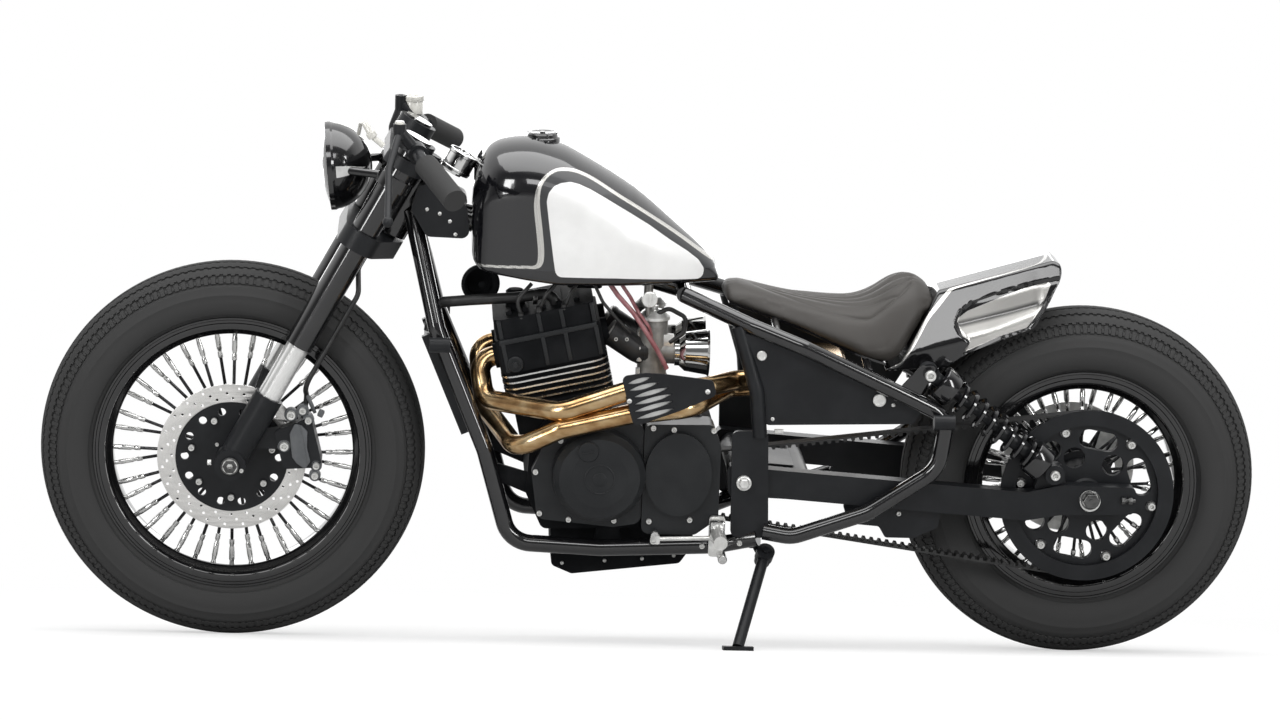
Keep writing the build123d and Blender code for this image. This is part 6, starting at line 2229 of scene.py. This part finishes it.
@dataclass
class Studio:
    """Pale floor, soft lamps and the photograph's viewpoint.

    Attributes:
        eye: Camera's place before the stance's shift, in metres.
        yaw, pitch, roll: Its turns in degrees.
        focal_px: Focal length in pixels of the photograph.
        photo_px: Width of the photograph in pixels.
        sensor: Width of the camera's sensor in millimetres.
        floor_half: Half width of the floor in metres.
    """

    eye: Point = (0.4331, 7.0017, 0.2948)
    yaw: float = -3.29
    pitch: float = -1.71
    roll: float = -1.31
    focal_px: float = 3902.1
    photo_px: float = 1280
    sensor: float = 36.0
    floor_half: float = 8

    def camera(self) -> None:
        """Makes the camera."""
        turn = Matrix.Rotation(radians(self.yaw), 3, "Z")
        right, down, ahead = turn @ Vector((-1, 0, 0)), Vector((0, 0, -1)), turn @ Vector((0, -1, 0))
        low, level = radians(self.pitch), radians(self.roll)
        view = ahead * cos(low) + down * sin(low)
        down = down * cos(low) - ahead * sin(low)
        across = right * cos(level) + down * sin(level)
        down = down * cos(level) - right * sin(level)
        data = bpy.data.cameras.new("camera")
        data.sensor_width, data.lens = self.sensor, self.sensor * self.focal_px / self.photo_px
        made = linked("camera", data)
        shift = STANCE.shift()
        place = Matrix((across, -down, -view)).transposed().to_4x4()
        made.matrix_world = Matrix.Translation(Vector(self.eye) + Vector((shift.x, shift.y, 0))) @ place
        bpy.context.scene.camera = made

    @staticmethod
    def lamp(name: str, spot: Point, aim: Point, size: Flat, power: float) -> None:
        """Adds a softbox.

        Args:
            name: Its name.
            spot: Its place in metres.
            aim: Where it points.
            size: Width and height.
            power: Watts.
        """
        data = bpy.data.lights.new(name, "AREA")
        data.shape, data.size, data.size_y, data.energy = "RECTANGLE", size[0], size[1], power
        made = linked(name, data)
        away = (Vector(aim) - Vector(spot)).to_track_quat("-Z", "Y")
        made.matrix_world = Matrix.Translation(Vector(spot)) @ away.to_matrix().to_4x4()

    def lamps(self) -> None:
        """Adds the softboxes."""
        self.lamp("overhead", (0.0, 0.6, 2.9), (0, 0, 0.3), (3.6, 2.2), 62)
        self.lamp("left_strip", (2.5, 2.9, 1.3), (0.2, 0, 0.5), (0.5, 2.0), 40)
        self.lamp("right_strip", (-2.4, 2.9, 1.3), (-0.2, 0, 0.5), (0.5, 2.0), 40)
        self.lamp("front_fill", (0.3, 4.4, 2.6), (0.0, 0, 0.5), (3.0, 1.0), 46)
        self.lamp("behind", (0.2, -2.8, 1.6), (0, 0, 0.5), (3.2, 1.2), 26)

    def world(self) -> None:
        """White background, dimmer in reflections of the side the camera stands on."""
        recipe = Recipe(bpy.data.worlds.new("studio"))
        direction = recipe.node("ShaderNodeTexCoord").outputs["Generated"]
        parts = recipe.node("ShaderNodeSeparateXYZ", {}, {0: direction})
        side, high = Value(recipe, parts.outputs[1]), Value(recipe, parts.outputs[2])
        dark_side = side.ramp(-0.1, 0.6) * high.ramp(0.98, 0.6)
        mirror = 1 - dark_side * 0.86
        gloss = recipe.ray("Glossy")
        strength = 0.42 * (1 - gloss) + mirror * gloss
        white = recipe.ray("Camera").most(recipe.ray("Transmission"))
        background = recipe.node("ShaderNodeBackground", {}, {
            "Color": (1, 1, 1, 1), "Strength": strength * (1 - white) + white})
        recipe.node("ShaderNodeOutputWorld", {}, {0: background.outputs[0]})
        bpy.context.scene.world = recipe.owner

    def floor(self) -> None:
        """Pale floor that keeps the object's shadow and fades to white around it."""
        recipe = Recipe(bpy.data.materials.new("studio_floor"))
        length = recipe.node("ShaderNodeVectorMath", {"operation": "LENGTH"}, {0: recipe.place()})
        away = Value(recipe, length.outputs["Value"]).ramp(1.3, 2.8)
        matt = recipe.node("ShaderNodeBsdfDiffuse", {}, {"Color": (0.52, 0.52, 0.52, 1)})
        glow = recipe.node("ShaderNodeEmission", {}, {"Color": (1, 1, 1, 1), "Strength": 0.5})
        near = recipe.node("ShaderNodeAddShader", {}, {0: matt.outputs[0], 1: glow.outputs[0]})
        far = recipe.node("ShaderNodeEmission", {}, {"Color": (1, 1, 1, 1), "Strength": 1.0})
        seen = recipe.node("ShaderNodeMixShader", {}, {0: away, 1: near.outputs[0], 2: far.outputs[0]})
        plain = recipe.node("ShaderNodeBsdfDiffuse", {}, {"Color": (0.5, 0.5, 0.5, 1)})
        shown = recipe.ray("Camera").most(recipe.ray("Transmission"))
        both = recipe.node("ShaderNodeMixShader", {}, {0: shown, 1: plain.outputs[0], 2: seen.outputs[0]})
        recipe.node("ShaderNodeOutputMaterial", {}, {0: both.outputs[0]})
        mesh = bpy.data.meshes.new("studio_floor")
        half = self.floor_half
        mesh.from_pydata([(-half, -half, 0), (half, -half, 0), (half, half, 0), (-half, half, 0)], [],
                         [(0, 1, 2, 3)])
        mesh.materials.append(recipe.owner)
        linked("studio_floor", mesh)

    def build(self) -> None:
        """Builds the studio."""
        bpy.context.scene.view_settings.view_transform = "Standard"
        self.camera()
        self.lamps()
        self.world()
        self.floor()


def main() -> None:
    """Dresses the machine and sets up the studio."""
    logging.basicConfig(level=logging.INFO, format="%(message)s")
    Studio().build()
    Solids().dress()
    repeats = RepeatTree()
    screws = ScrewSet(repeats)
    front = Wheel("front", 750, 337.5, 60, 228.6, 244, 40, 52, 30, pitches=150)
    rear = Wheel("rear", -750, 316, 71, 190.5, 208, 52, 62, 38, pitches=142)
    for wheel in (front, rear):
        wheel.build(repeats)
    FrontBrake(front).build(screws)
    PulleyBolts(rear).build(screws)
    for fittings in (Engine(), Chassis(), FrontEnd()):
        fittings.build(screws)
    for hull in (Tank(), Tail(), Seat()):
        hull.build()


if __name__ == "__main__":
    main()
